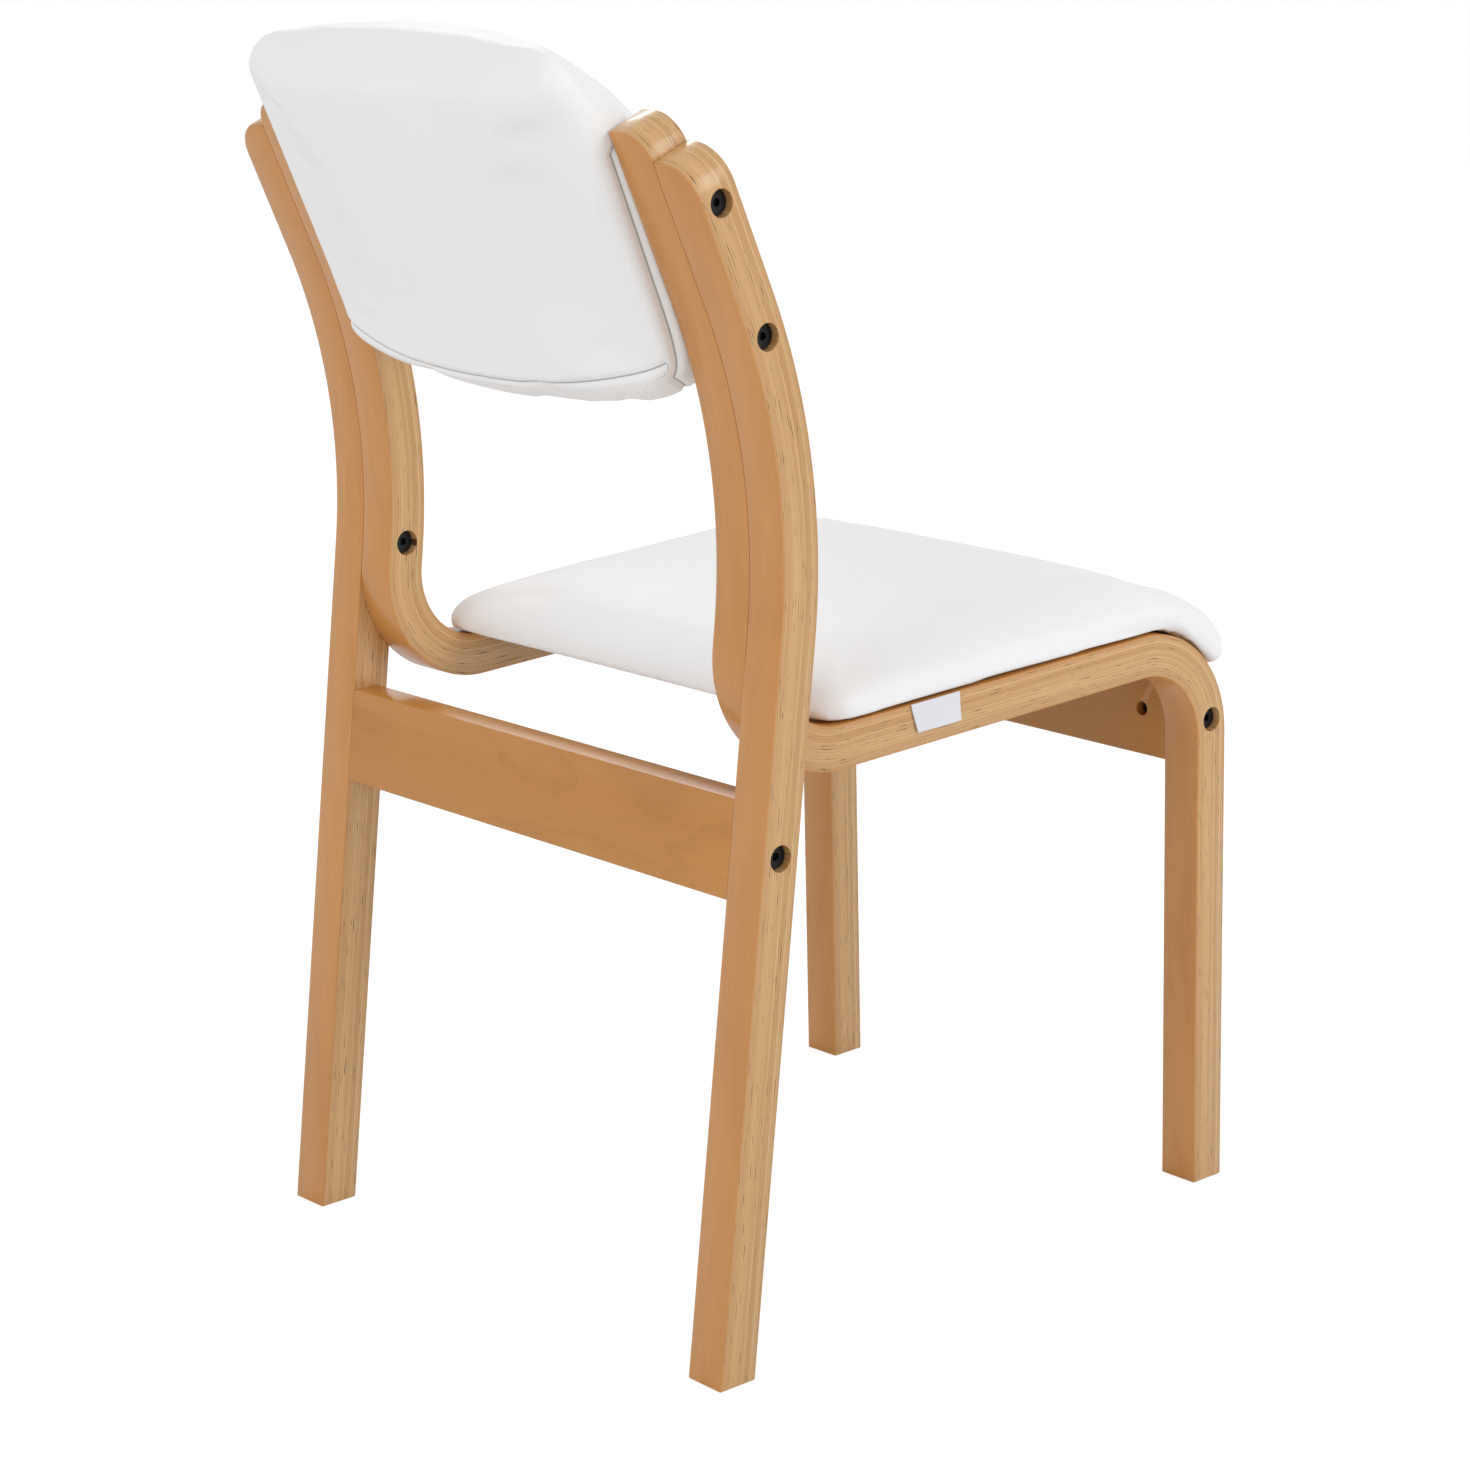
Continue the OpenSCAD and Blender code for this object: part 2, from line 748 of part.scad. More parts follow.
// A closed skin over rings of equal count, with both ends filled
module skin(rings) {
    n = len(rings[0]);
    m = len(rings);
    points = concat([middle_of(rings[0])], [for (ring = rings) each ring],
        [middle_of(rings[m - 1])]);
    faces = concat(
        [for (k = [0:n - 1]) [0, 1 + (k + 1) % n, 1 + k]],
        [for (i = [0:m - 2], k = [0:n - 1]) let (a = 1 + i * n + k, b = 1 + i * n + (k + 1) % n)
            each [[a, b, a + n], [b, b + n, a + n]]],
        [for (k = [0:n - 1]) let (s = 1 + (m - 1) * n) [m * n + 1, s + k, s + (k + 1) % n]]);
    polyhedron(points, faces);
}
function middle_of(ring) = [for (axis = [0:2])
    (min([for (p = ring) p[axis]]) + max([for (p = ring) p[axis]])) / 2];

// A ring from its right half: the points from the middle below to the middle above
function both_halves(half) = concat(half, [for (k = [len(half) - 2:-1:1])
    [-half[k][0], half[k][1], half[k][2]]]);

// The seat cushion's crosswise sections: where they are, and where its pocket lies
seat_pocket = seat_board_inset - 3 * soft_gap;
seat_pocket_start = seat_board_inset / 2 - 2 * soft_gap;
seat_straight = rail_run - seat_rear;
seat_places = concat(
    [for (share = seat_rear_shares) seat_rear + share * seat_shoulder],
    [seat_pocket_start - pocket_slant, seat_pocket_start],
    [for (share = seat_straight_shares) seat_rear + share * seat_straight],
    [for (share = seat_wrap_shares) rail_run + share * wrap_length(seat_wrap)],
    [seat_front - seat_pocket, seat_front - seat_pocket + pocket_slant],
    [for (share = seat_front_shares) seat_front - share * seat_lip_round]);

function seat_lip(place) = place < rail_run ? 1
    : 1 - (1 - seat_lip_share) * (place - rail_run) / (seat_front - rail_run);

function seat_section(place) =
    let (rear = place - seat_rear, front = seat_front - place, lip = seat_lip(place),
        side = seat_side_pull * sin(180 * rear / (seat_front - seat_rear)),
        half = frame_outer(seat_point(place, seat_bulge_height)[0]) + seat_overhang - side
            - corner_loss(rear, seat_corner) - corner_loss(front, seat_tip),
        open = place >= seat_pocket_start && place <= seat_front - seat_pocket,
        rise = arc_rise(rear, seat_shoulder) * arc_rise(front, seat_lip_round),
        under = arc_rise(rear, seat_rear_underround) * arc_rise(front, seat_underround),
        crown = seat_crown * soft_rise(rear, crown_reach) * soft_rise(front, crown_reach),
        rim = seat_bulge_height * lip,
        low = rim - (rim - cover_level) * under,
        level = open ? pad_level + soft_gap : low)
    both_halves([for (p = concat(
        [[half, level], [seat_pocket + pocket_slant, level], [seat_pocket, low],
            [seat_underround, low], [seat_underround / 4, low + (rim - low) / 3], [0, rim]],
        [for (inset = concat(seat_edge_shares * seat_shoulder, seat_crown_shares * half))
            [inset, rim + lip * ((seat_edge_height - seat_bulge_height)
                * arc_rise(inset, seat_shoulder) * rise
                + crown * soft_rise(inset, crown_reach))]]))
        let (q = seat_point(place, p[1])) [half - p[0], q[0], q[1]]]);

module seat_cushion() {
    color(vinyl)
        in_middle(rail_shift)
            skin([for (place = seat_places) seat_section(place)]);
}

// Backrest

// Piece of the back that follows the post's curve, between two places and two depths
module post_layer(from, to, near, far, width) {
    start = from / post_bend_radius * 180 / PI;
    stand_up()
        translate(bend_centre) {
            rotate([0, 0, top_heading + 90])
                rotate_extrude(angle = post_bend - start)
                    translate([post_bend_radius + near, 0])
                        square([far - near, width]);
            rotate([0, 0, top_heading + 90])
                translate([post_bend_radius + near, bend_length - to, 0])
                    cube([far - near, to - bend_length, width]);
        }
}

module backrest_batten(side) {
    difference() {
        in_middle(back_shift)
            mirror([side > 0 ? 1 : 0, 0, 0])
                translate([batten_side - frame_inner(0) + soft_gap, 0, 0])
                    post_layer(batten_start, batten_end, batten_near, batten_far, batten_width);
        on_both_sides()
            for (point = back_bolts)
                across(point, inner_face, inner_face + batten_side + insert_length + overrun,
                    insert_diameter + fit);
    }
}

module backrest_board() {
    half = frame_width / 2 - inner_face;
    in_middle(back_shift)
        intersection() {
            translate([-half, 0, 0])
                post_layer(back_start, back_end, board_near, board_far, 2 * half);
            at_post(back_end)
                board_plan(back_board_top_inset, back_arch(back_pocket_round), back_top_corner);
            at_post(back_start)
                rotate([0, 0, 180])
                    board_plan(back_board_low_inset, back_sag, back_low_corner);
        }
}

// Stands a flat shape on the post at a place, square to it, with its Y along the post
module at_post(place) {
    point = post_point(place, 0);
    translate([0, point[0], point[1]])
        rotate([post_angle(place), 0, 0])
            translate([0, 0, -strip_thickness])
                linear_extrude(4 * strip_thickness)
                    children();
}

// One end of the back board's outline, at the origin, with a bowed edge and round corners
module board_plan(inset, bow, corner) {
    half = frame_inner(0) - 2 * soft_gap - batten_side;
    bow_radius = (half * half + bow * bow) / (2 * bow);
    difference() {
        intersection() {
            translate([-half, -back_length])
                square([2 * half, back_length]);
            translate([0, -inset - bow_radius])
                circle(r = bow_radius, $fn = 4 * $fn);
        }
        for (side = [-1, 1])
            mirror([side > 0 ? 0 : 1, 0])
                translate([half - corner, -inset - bow * pow(1 - corner / half, 2) - corner])
                    corner_waste(corner);
    }
}

// The back's crosswise sections, as distances from its lower end
back_pocket_low = back_board_low_inset * post_bend_radius / (post_bend_radius + board_far)
    - back_pocket_gap;
back_pocket_high = back_length - back_board_top_inset + back_pocket_gap;
back_distances = concat(
    back_low_shares * back_low_fall,
    [back_pocket_low - pocket_slant, back_pocket_low],
    back_above_pocket_shares * back_low_fall,
    back_middle_shares * back_length,
    [back_pocket_high, back_pocket_high + pocket_slant],
    [for (share = back_top_shares) back_length - share * back_top_fall]);

function back_rise(distance) = distance / back_length;
// Radius of the upper corners and height of the arched top, which grow towards the front
function back_growth(depth) = min(max(depth + back_seam_depth, 0), back_growth_depth);
function back_corner(depth) = back_top_corner + back_growth(depth) * back_corner_share;
function back_arch(depth) = back_dome + back_growth(depth) * back_dome_share;

// A point of the back, at a distance from its low end, an inset from its side and a depth;
// its pocket's walls keep the rounding of one depth, so that they stand square
function back_at(distance, inset, depth, round_depth) =
    let (high = back_length - distance,
        corner = back_corner(round_depth),
        middle = post_point(back_start + distance, depth),
        half = frame_inner(middle[0]) - soft_gap - corner_loss(high, corner)
            - corner_loss(distance, back_low_corner),
        x = max(half - inset, 0),
        bow = pow(x / frame_inner(0), 2),
        q = post_point(back_start + distance + bow * (back_sag * (1 - back_rise(distance))
            - back_arch(round_depth) * back_rise(distance)), depth))
    [x, q[0], q[1]];

function back_front(distance, inset) =
    let (high = back_length - distance,
        full = back_side_depth + (board_far + back_front_edge - back_side_depth)
            * arc_rise(inset, back_shoulder) + back_front_crown * soft_rise(inset, crown_reach),
        top = (full + back_seam_depth) * soft_rise(high, back_top_fall) - back_seam_depth,
        rim = half_strip)
    min(top, rim + (full - rim) * arc_rise(distance, back_low_fall));

function back_rear(distance, inset) =
    let (ends = soft_rise(back_length - distance, back_rear_roll)
        * soft_rise(distance, back_rear_roll))
    -back_seam_depth - soft_gap - ends * (back_rear_edge * arc_rise(inset, back_rear_shoulder)
        + back_rear_crown * soft_rise(inset, back_rear_crown_reach));

back_pocket_depth = board_far + back_pocket_gap;
function back_open(distance) = distance >= back_pocket_low && distance <= back_pocket_high;
half_back = frame_width / 2 - inner_face;

function back_front_section(distance) =
    let (level = back_open(distance) ? back_pocket_depth : -back_seam_depth,
        deep = back_open(distance) ? back_pocket_round : -back_seam_depth,
        wall = back_board_inset - soft_gap)
    both_halves([for (p = concat(
        [[half_back, level, deep], [half_back / 2, level, deep],
            [wall + pocket_slant, level, deep], [wall, -back_seam_depth, deep],
            [0, -back_seam_depth], [0, min(half_strip, back_front(distance, 0) - fit)]],
        [for (inset = concat(front_edge_shares * back_shoulder, front_crown_shares * half_back))
            [inset, back_front(distance, inset)]]))
        back_at(distance, p[0], p[1], len(p) > 2 ? p[2] : p[1])]);

function back_rear_section(distance) =
    let (open = distance >= back_pocket_low + pocket_slant
            && distance <= back_pocket_high - pocket_slant,
        base = -back_seam_depth - soft_gap,
        core = open ? batten_far - soft_gap : base,
        shelf = open ? batten_near - soft_gap : base,
        deep = open ? back_pocket_round : base,
        wall = back_board_inset + soft_gap,
        core_side = batten_side + batten_width + 3 * soft_gap)
    both_halves([for (p = concat(
        [[half_back, core, deep], [half_back / 2, core, deep],
            [core_side + pocket_slant, core, deep], [core_side, shelf, deep],
            [wall + pocket_slant, shelf, deep], [wall, base, deep]],
        [for (inset = concat(rear_edge_shares * back_rear_shoulder,
                rear_crown_shares * half_back))
            [inset, inset == 0 ? base : back_rear(distance, inset)]]))
        back_at(distance, p[0], p[1], len(p) > 2 ? p[2] : p[1])]);
back_rear_rings = [for (d = back_distances) back_rear_section(d)];

module backrest_front_cushion() {
    color(vinyl)
        difference() {
            in_middle(back_shift)
                skin([for (d = back_distances) back_front_section(d)]);
            on_both_sides()
                for (point = back_bolts)
                    across(point, inner_face - overrun, inner_face + batten_side + overrun,
                        bolt_hole);
        }
}

module backrest_rear_cushion() {
    color(vinyl)
        in_middle(back_shift)
            mirror([1, 0, 0])
                skin(back_rear_rings);
}

// Fasteners

module backrest_bolts() {
    color(black)
        for (point = back_bolts)
            bolt(point, recess_depth, inner_face - recess_depth + batten_side
                + insert_length);
}

module backrest_inserts() {
    start = inner_face + batten_side + soft_gap;
    color(steel)
        on_both_sides()
            for (point = back_bolts)
                insert(point, start, start + insert_length);
}

module joint_bolts() {
    color(black)
        on_both_sides()
            bolt(joint_bolt, inner_face - recess_depth,
                strip_width - recess_depth + insert_length, flip = true);
}

module joint_inserts() {
    color(steel)
        on_both_sides()
            insert(joint_bolt, strip_width - insert_length, strip_width);
}

module stretcher_bolts() {
    color(black)
        on_both_sides()
            bolt(stretcher_bolt, recess_depth,
                strip_width - recess_depth + barrel_inset + bolt_past_barrel);
}

module stretcher_barrel_nuts() {
    color(steel)
        on_both_sides()
            difference() {
                stretcher_barrel(barrel_diameter, half_strip - barrel_skin - barrel_length,
                    half_strip - barrel_skin);
                across(stretcher_bolt, strip_width, strip_width + 2 * barrel_inset,
                    bolt_diameter + fit);
            }
}

module stretcher_dowels() {
    color(wood_dark)
        on_both_sides()
            for (point = stretcher_dowel_points)
                dowel(point, strip_width);
}

module apron_bolts() {
    color(black)
        on_both_sides()
            bolt(apron_bolt, strip_width + recess_depth,
                strip_width - recess_depth + barrel_inset + bolt_past_barrel);
}

module apron_barrel_nuts() {
    start = barrel_skin - apron_thickness / 2;
    color(steel)
        on_both_sides()
            difference() {
                apron_barrel(barrel_diameter, start, start + barrel_length);
                across(apron_bolt, inner_face, inner_face + 2 * barrel_inset,
                    bolt_diameter + fit);
            }
}

module apron_dowels() {
    color(wood_dark)
        on_both_sides()
            for (point = apron_dowel_points)
                dowel(point, inner_face);
}

module seat_screws() {
    seat = screw_recess_depth - strip_thickness;
    color(steel)
        on_both_sides()
            for (place = seat_screw_places)
                at_rail(place) {
                    translate([0, 0, seat - screw_head_height])
                        cylinder(h = screw_head_height, d = screw_head_diameter);
                    translate([0, 0, seat])
                        cylinder(h = board_level + screw_bite - seat, d = screw_diameter);
                }
}

// Small woven tab sewn into the cushion's lower edge on the right
module side_tab() {
    color(vinyl)
        on_side(-1)
            translate([strip_width - soft_gap - tab_thickness, 0, 0])
                stand_up()
                    linear_extrude(tab_thickness)
                        polygon([seat_point(tab_place, 0),
                            seat_point(tab_place + tab_length, 0),
                            seat_point(tab_place + tab_length, -tab_height),
                            seat_point(tab_place + tab_slant, -tab_height)]);
}

// The middle of the chair's depth, between the front feet and the back of the pad
front_reach = front_foot_y * cos(toe_angle) - inner_face * sin(toe_angle);
rear_reach = max([for (ring = back_rear_rings) each [for (p = ring) p[1]]])
    - back_shift;
middle_y = (front_reach + rear_reach) / 2;

color(wood) on_side(-1) rear_post();  // rear_post_right
color(wood) on_side(1) rear_post();  // rear_post_left
color(wood) on_side(-1) seat_frame();  // seat_frame_right
color(wood) on_side(1) seat_frame();  // seat_frame_left
color(wood_dark) rear_stretcher();
color(wood_dark) front_apron();
color(wood_dark) seat_board();
color(black) seat_dust_cover();
seat_cushion();
color(wood_dark) backrest_board();
color(wood_dark) backrest_batten(-1);  // backrest_batten_right
color(wood_dark) backrest_batten(1);  // backrest_batten_left
backrest_front_cushion();
backrest_rear_cushion();
on_side(-1) backrest_bolts();  // backrest_bolts_right
on_side(1) backrest_bolts();  // backrest_bolts_left
backrest_inserts();
joint_bolts();
joint_inserts();
stretcher_bolts();
stretcher_barrel_nuts();
stretcher_dowels();
apron_bolts();
apron_barrel_nuts();
apron_dowels();
seat_screws();
side_tab();
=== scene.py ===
from math import atan2, cos, pi, radians, sin

import bmesh
import bpy
import numpy as np
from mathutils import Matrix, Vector


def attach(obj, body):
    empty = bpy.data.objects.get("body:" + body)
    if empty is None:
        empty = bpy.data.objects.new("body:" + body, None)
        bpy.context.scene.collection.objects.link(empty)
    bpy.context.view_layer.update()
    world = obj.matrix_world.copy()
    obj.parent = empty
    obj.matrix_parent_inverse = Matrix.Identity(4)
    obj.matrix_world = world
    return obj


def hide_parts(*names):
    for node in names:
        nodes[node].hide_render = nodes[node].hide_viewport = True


# Looks of a waiting room chair: bent birch frames, white vinyl pads, black bolts
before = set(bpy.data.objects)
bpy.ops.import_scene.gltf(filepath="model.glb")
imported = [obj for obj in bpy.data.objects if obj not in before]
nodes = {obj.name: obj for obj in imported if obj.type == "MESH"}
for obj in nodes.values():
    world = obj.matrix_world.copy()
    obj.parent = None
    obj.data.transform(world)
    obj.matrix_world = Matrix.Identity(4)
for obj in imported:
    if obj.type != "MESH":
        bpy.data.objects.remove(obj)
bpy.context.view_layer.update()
bpy.ops.object.select_all(action="DESELECT")

# Sizes, in metres
MM = 0.001
HALF_CHAIR = 220 * MM
TOE = radians(0.8)
MIDDLE = 219.99 * MM
STRIP_WIDTH = 30 * MM
STRIP_THICKNESS = 29 * MM
ARRIS = 1.0 * MM
# Headings are in degrees from the sitter's back, turning upwards
LEG_HEADING, LEG_RUN = 96, 467 * MM
POST_TURN, REAR_FACE_RADIUS = 30.7, 386 * MM
POST_TOP_RUN, FRAME_RISE = 95.475 * MM, 18 * MM
FRONT_HEADING, FRONT_RUN = 88.2, 328.641 * MM
FRONT_TURN, FRONT_RADIUS = 90.7, 68.5 * MM
RAIL_RUN, UPRIGHT_RUN = 284.5 * MM, 10 * MM
REAR_TURN, REAR_RADIUS = 98.5, 64 * MM
POST_ROUND, FRAME_ROUND = 24 * MM, 20 * MM
RECESS_ACROSS = 17 * MM
RECESS_DEPTH = 10 * MM
BORE_ACROSS = 7 * MM
BELOW_FLOOR = 5 * MM


# Working by hand
def let_go():
    if bpy.context.object and bpy.context.object.mode != "OBJECT":
        bpy.ops.object.mode_set(mode="OBJECT")
    bpy.ops.object.select_all(action="DESELECT")


def pick_up(piece):
    let_go()
    piece.select_set(True)
    bpy.context.view_layer.objects.active = piece


def settle(piece):
    """Applies the piece's place to its mesh, so that its object sits at the origin."""
    pick_up(piece)
    bpy.ops.object.transform_apply(location=True, rotation=True, scale=True)


def apply_modifiers(piece):
    pick_up(piece)
    for modifier in list(piece.modifiers):
        bpy.ops.object.modifier_apply(modifier=modifier.name)


def begin_edit(piece):
    pick_up(piece)
    bpy.ops.object.mode_set(mode="EDIT")
    bpy.ops.mesh.select_all(action="DESELECT")


def end_edit():
    bpy.ops.object.mode_set(mode="OBJECT")


def select_edges(piece, wanted):
    """Selects the edges of the piece in edit mode whose two ends pass a test."""
    shape = bmesh.from_edit_mesh(piece.data)
    bpy.ops.mesh.select_mode(type="EDGE")
    for edge in shape.edges:
        edge.select_set(wanted(edge.verts[0].co) and wanted(edge.verts[1].co))
    shape.select_flush(False)
    bmesh.update_edit_mesh(piece.data)


def copy_of_node(node, name):
    """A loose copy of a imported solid's mesh, with its doubles merged."""
    piece = bpy.data.objects.new(name, nodes[node].data.copy())
    bpy.context.scene.collection.objects.link(piece)
    piece.data.materials.clear()
    begin_edit(piece)
    bpy.ops.mesh.select_all(action="SELECT")
    bpy.ops.mesh.remove_doubles(threshold=0.00001)
    bpy.ops.mesh.normals_make_consistent(inside=False)
    end_edit()
    return piece


def dress(piece, finish, slot, *replaced):
    piece.data.materials.clear()
    piece.data.materials.append(finish)
    for node in replaced:
        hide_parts(node)
    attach(piece, "root")


# Materials
def colour(hex_code):
    """An sRGB hex colour as the linear values that the shaders take."""
    parts = [int(hex_code[i:i + 2], 16) / 255 for i in (1, 3, 5)]
    return [p / 12.92 if p <= 0.04045 else ((p + 0.055) / 1.055) ** 2.4 for p in parts] + [1]


def add(tree, kind, inputs=None, **settings):
    """Adds a node with its settings, and fills its inputs with values or links."""
    node = tree.nodes.new("ShaderNode" + kind)
    for key, value in settings.items():
        setattr(node, key, value)
    for key, value in (inputs or {}).items():
        if isinstance(value, bpy.types.NodeSocket):
            tree.links.new(value, node.inputs[key])
        else:
            node.inputs[key].default_value = value
    return node


def new_finish(name):
    finish = bpy.data.materials.new(name)
    finish.use_nodes = True
    tree = finish.node_tree
    tree.nodes.clear()
    surface = add(tree, "BsdfPrincipled")
    output = add(tree, "OutputMaterial")
    tree.links.new(surface.outputs["BSDF"], output.inputs["Surface"])
    return finish, tree, surface


def bent_birch_ply():
    # Bent laminated birch under clear satin lacquer: golden rotary-cut veneer on the two
    # faces, and on the edges a stack of pale plies with fine darker lines between them and
    # short pits painted dark as their shade, all running along the strip and round its bends.
    finish, tree, surface = new_finish("lacquered_bent_birch_ply")
    along = add(tree, "Attribute", attribute_name="lay")
    place = add(tree, "SeparateXYZ", {0: along.outputs["Vector"]})
    run, depth, across = place.outputs[0], place.outputs[1], place.outputs[2]

    ply = 2.1 * MM
    stack = add(tree, "Math", {0: depth, 1: 1 / ply}, operation="MULTIPLY").outputs[0]
    layer = add(tree, "Math", {0: stack}, operation="FLOOR").outputs[0]
    inside = add(tree, "Math", {0: stack}, operation="FRACT").outputs[0]
    tint = add(tree, "TexWhiteNoise", {"W": layer}, noise_dimensions="1D").outputs["Value"]

    # Streaks of the plies' own grain on the edge, 0.9 mm apart
    edge_grid = add(tree, "CombineXYZ", {
        0: add(tree, "Math", {0: run, 1: 9.0}, operation="MULTIPLY").outputs[0],
        1: add(tree, "Math", {0: depth, 1: 1 / (0.9 * MM)}, operation="MULTIPLY").outputs[0],
        2: add(tree, "Math", {0: across, 1: 25.0}, operation="MULTIPLY").outputs[0]})
    streaks = add(tree, "TexNoise", {"Vector": edge_grid.outputs[0], "Scale": 1.0,
        "Detail": 3.0, "Roughness": 0.6}).outputs[0]
    shade = add(tree, "Math", {0: tint, 1: 0.30, 2: 0.07}, operation="MULTIPLY_ADD").outputs[0]
    shade = add(tree, "Math", {0: streaks, 1: 0.8, 2: shade}, operation="MULTIPLY_ADD").outputs[0]
    edge = add(tree, "ValToRGB", {0: shade})
    edge.color_ramp.elements[0].position = 0.30
    edge.color_ramp.elements[0].color = colour("#D9AF79")
    edge.color_ramp.elements[1].position = 0.95
    edge.color_ramp.elements[1].color = colour("#B5844C")

    # Glue lines where two plies meet, faint all along, and painted shade in short pits along them
    rim = add(tree, "Math", {0: inside, 1: 0.5}, operation="SUBTRACT").outputs[0]
    rim = add(tree, "Math", {0: rim}, operation="ABSOLUTE").outputs[0]
    line = add(tree, "MapRange", {"Value": rim, "From Min": 0.36, "From Max": 0.48},
        interpolation_type="SMOOTHSTEP").outputs[0]
    split = add(tree, "MapRange", {"Value": rim, "From Min": 0.20, "From Max": 0.34},
        interpolation_type="SMOOTHSTEP").outputs[0]
    pit_grid = add(tree, "CombineXYZ", {
        0: add(tree, "Math", {0: run, 1: 1 / (17 * MM)}, operation="MULTIPLY").outputs[0],
        1: add(tree, "Math", {0: stack, 1: 2.0}, operation="MULTIPLY").outputs[0],
        2: add(tree, "Math", {0: across, 1: 60.0}, operation="MULTIPLY").outputs[0]})
    # Painted shade: short dark dashes stand in for the shade inside the pits between the plies
    painted_pit_shade = add(tree, "TexNoise", {"Vector": pit_grid.outputs[0], "Scale": 1.0,
        "Detail": 1.0}).outputs[0]
    painted_pit_shade = add(tree, "MapRange", {"Value": painted_pit_shade, "From Min": 0.645, "From Max": 0.69}).outputs[0]
    painted_pit_shade = add(tree, "Math", {0: painted_pit_shade, 1: split}, operation="MULTIPLY").outputs[0]
    line = add(tree, "Math", {0: line, 1: 0.22}, operation="MULTIPLY").outputs[0]
    glue_line_and_painted_pit_shade = add(tree, "Math", {0: painted_pit_shade, 1: 0.8, 2: line}, operation="MULTIPLY_ADD").outputs[0]
    # The glue lines' own dark colour, plus the pits' painted shade
    edge = add(tree, "Mix", {"Factor": glue_line_and_painted_pit_shade, "A": edge.outputs[0], "B": colour("#5E3B1E")},
        data_type="RGBA")

    # Face veneer: broad soft figure 25 mm wide and fine pores 1.2 mm apart
    face_grid = add(tree, "CombineXYZ", {
        0: add(tree, "Math", {0: run, 1: 7.0}, operation="MULTIPLY").outputs[0],
        1: add(tree, "Math", {0: across, 1: 1 / (25 * MM)}, operation="MULTIPLY").outputs[0],
        2: add(tree, "Math", {0: depth, 1: 40.0}, operation="MULTIPLY").outputs[0]})
    figure = add(tree, "TexNoise", {"Vector": face_grid.outputs[0], "Scale": 1.0,
        "Detail": 3.0, "Roughness": 0.55, "Distortion": 0.8}).outputs[0]
    pore_grid = add(tree, "CombineXYZ", {
        0: add(tree, "Math", {0: run, 1: 30.0}, operation="MULTIPLY").outputs[0],
        1: add(tree, "Math", {0: across, 1: 1 / (1.2 * MM)}, operation="MULTIPLY").outputs[0]})
    pores = add(tree, "TexNoise", {"Vector": pore_grid.outputs[0], "Scale": 1.0,
        "Detail": 2.0}).outputs[0]
    shade = add(tree, "Math", {0: pores, 1: 0.3, 2: 0.0}, operation="MULTIPLY_ADD").outputs[0]
    shade = add(tree, "Math", {0: figure, 1: 0.7, 2: shade}, operation="MULTIPLY_ADD").outputs[0]
    face = add(tree, "ValToRGB", {0: shade})
    face.color_ramp.elements[0].position = 0.32
    face.color_ramp.elements[0].color = colour("#CC8F4D")
    face.color_ramp.elements[1].position = 0.70
    face.color_ramp.elements[1].color = colour("#BD803E")

    # The face veneer is the outer 1.1 mm on either side
    outer = add(tree, "Math", {0: depth}, operation="ABSOLUTE").outputs[0]
    outer = add(tree, "MapRange", {"Value": outer, "From Min": 13.1 * MM, "From Max": 13.7 * MM},
        interpolation_type="SMOOTHSTEP").outputs[0]
    wood = add(tree, "Mix", {"Factor": outer, "A": edge.outputs[2], "B": face.outputs[0]},
        data_type="RGBA")
    tree.links.new(wood.outputs[2], surface.inputs["Base Color"])
    bump = add(tree, "Bump", {"Height": streaks, "Strength": 0.12, "Distance": 0.2 * MM})
    tree.links.new(bump.outputs[0], surface.inputs["Normal"])
    surface.inputs["Roughness"].default_value = 0.36
    surface.inputs["Coat Weight"].default_value = 0.4
    surface.inputs["Coat Roughness"].default_value = 0.10
    return finish


def solid_birch():
    # Sawn birch board under the same lacquer: flat-sawn figure in slow waves along the
    # board, with fine pores, a little darker and redder than the bent strips' edges.
    finish, tree, surface = new_finish("lacquered_sawn_birch")
    place = add(tree, "TexCoord").outputs["Object"]
    grid = add(tree, "Mapping", {"Vector": place, "Scale": (2.2, 14.0, 14.0),
        "Rotation": (0.0, 0.09, 0.03)})
    figure = add(tree, "TexNoise", {"Vector": grid.outputs[0], "Scale": 1.0, "Detail": 3.0,
        "Roughness": 0.45, "Distortion": 0.9}).outputs[0]
    # Growth rings, cut flat: about one dark line each 9 mm across the board
    rings = add(tree, "Math", {0: figure, 1: 5.0}, operation="MULTIPLY").outputs[0]
    rings = add(tree, "Math", {0: rings}, operation="FRACT").outputs[0]
    rings = add(tree, "MapRange", {"Value": rings, "From Min": 0.55, "From Max": 1.0},
        interpolation_type="SMOOTHSTEP").outputs[0]
    pore_grid = add(tree, "Mapping", {"Vector": place, "Scale": (25.0, 700.0, 700.0)})
    pores = add(tree, "TexNoise", {"Vector": pore_grid.outputs[0], "Scale": 1.0,
        "Detail": 2.0}).outputs[0]
    shade = add(tree, "Math", {0: rings, 1: 0.13, 2: 0.06}, operation="MULTIPLY_ADD").outputs[0]
    shade = add(tree, "Math", {0: pores, 1: 0.3, 2: shade}, operation="MULTIPLY_ADD").outputs[0]
    shade = add(tree, "Math", {0: figure, 1: 0.5, 2: shade}, operation="MULTIPLY_ADD").outputs[0]
    wood = add(tree, "ValToRGB", {0: shade})
    wood.color_ramp.elements[0].position = 0.28
    wood.color_ramp.elements[0].color = colour("#C28231")
    wood.color_ramp.elements[1].position = 0.85
    wood.color_ramp.elements[1].color = colour("#A86C24")
    tree.links.new(wood.outputs[0], surface.inputs["Base Color"])
    bump = add(tree, "Bump", {"Height": pores, "Strength": 0.1, "Distance": 0.2 * MM})
    tree.links.new(bump.outputs[0], surface.inputs["Normal"])
    surface.inputs["Roughness"].default_value = 0.36
    surface.inputs["Coat Weight"].default_value = 0.4
    surface.inputs["Coat Roughness"].default_value = 0.10
    return finish


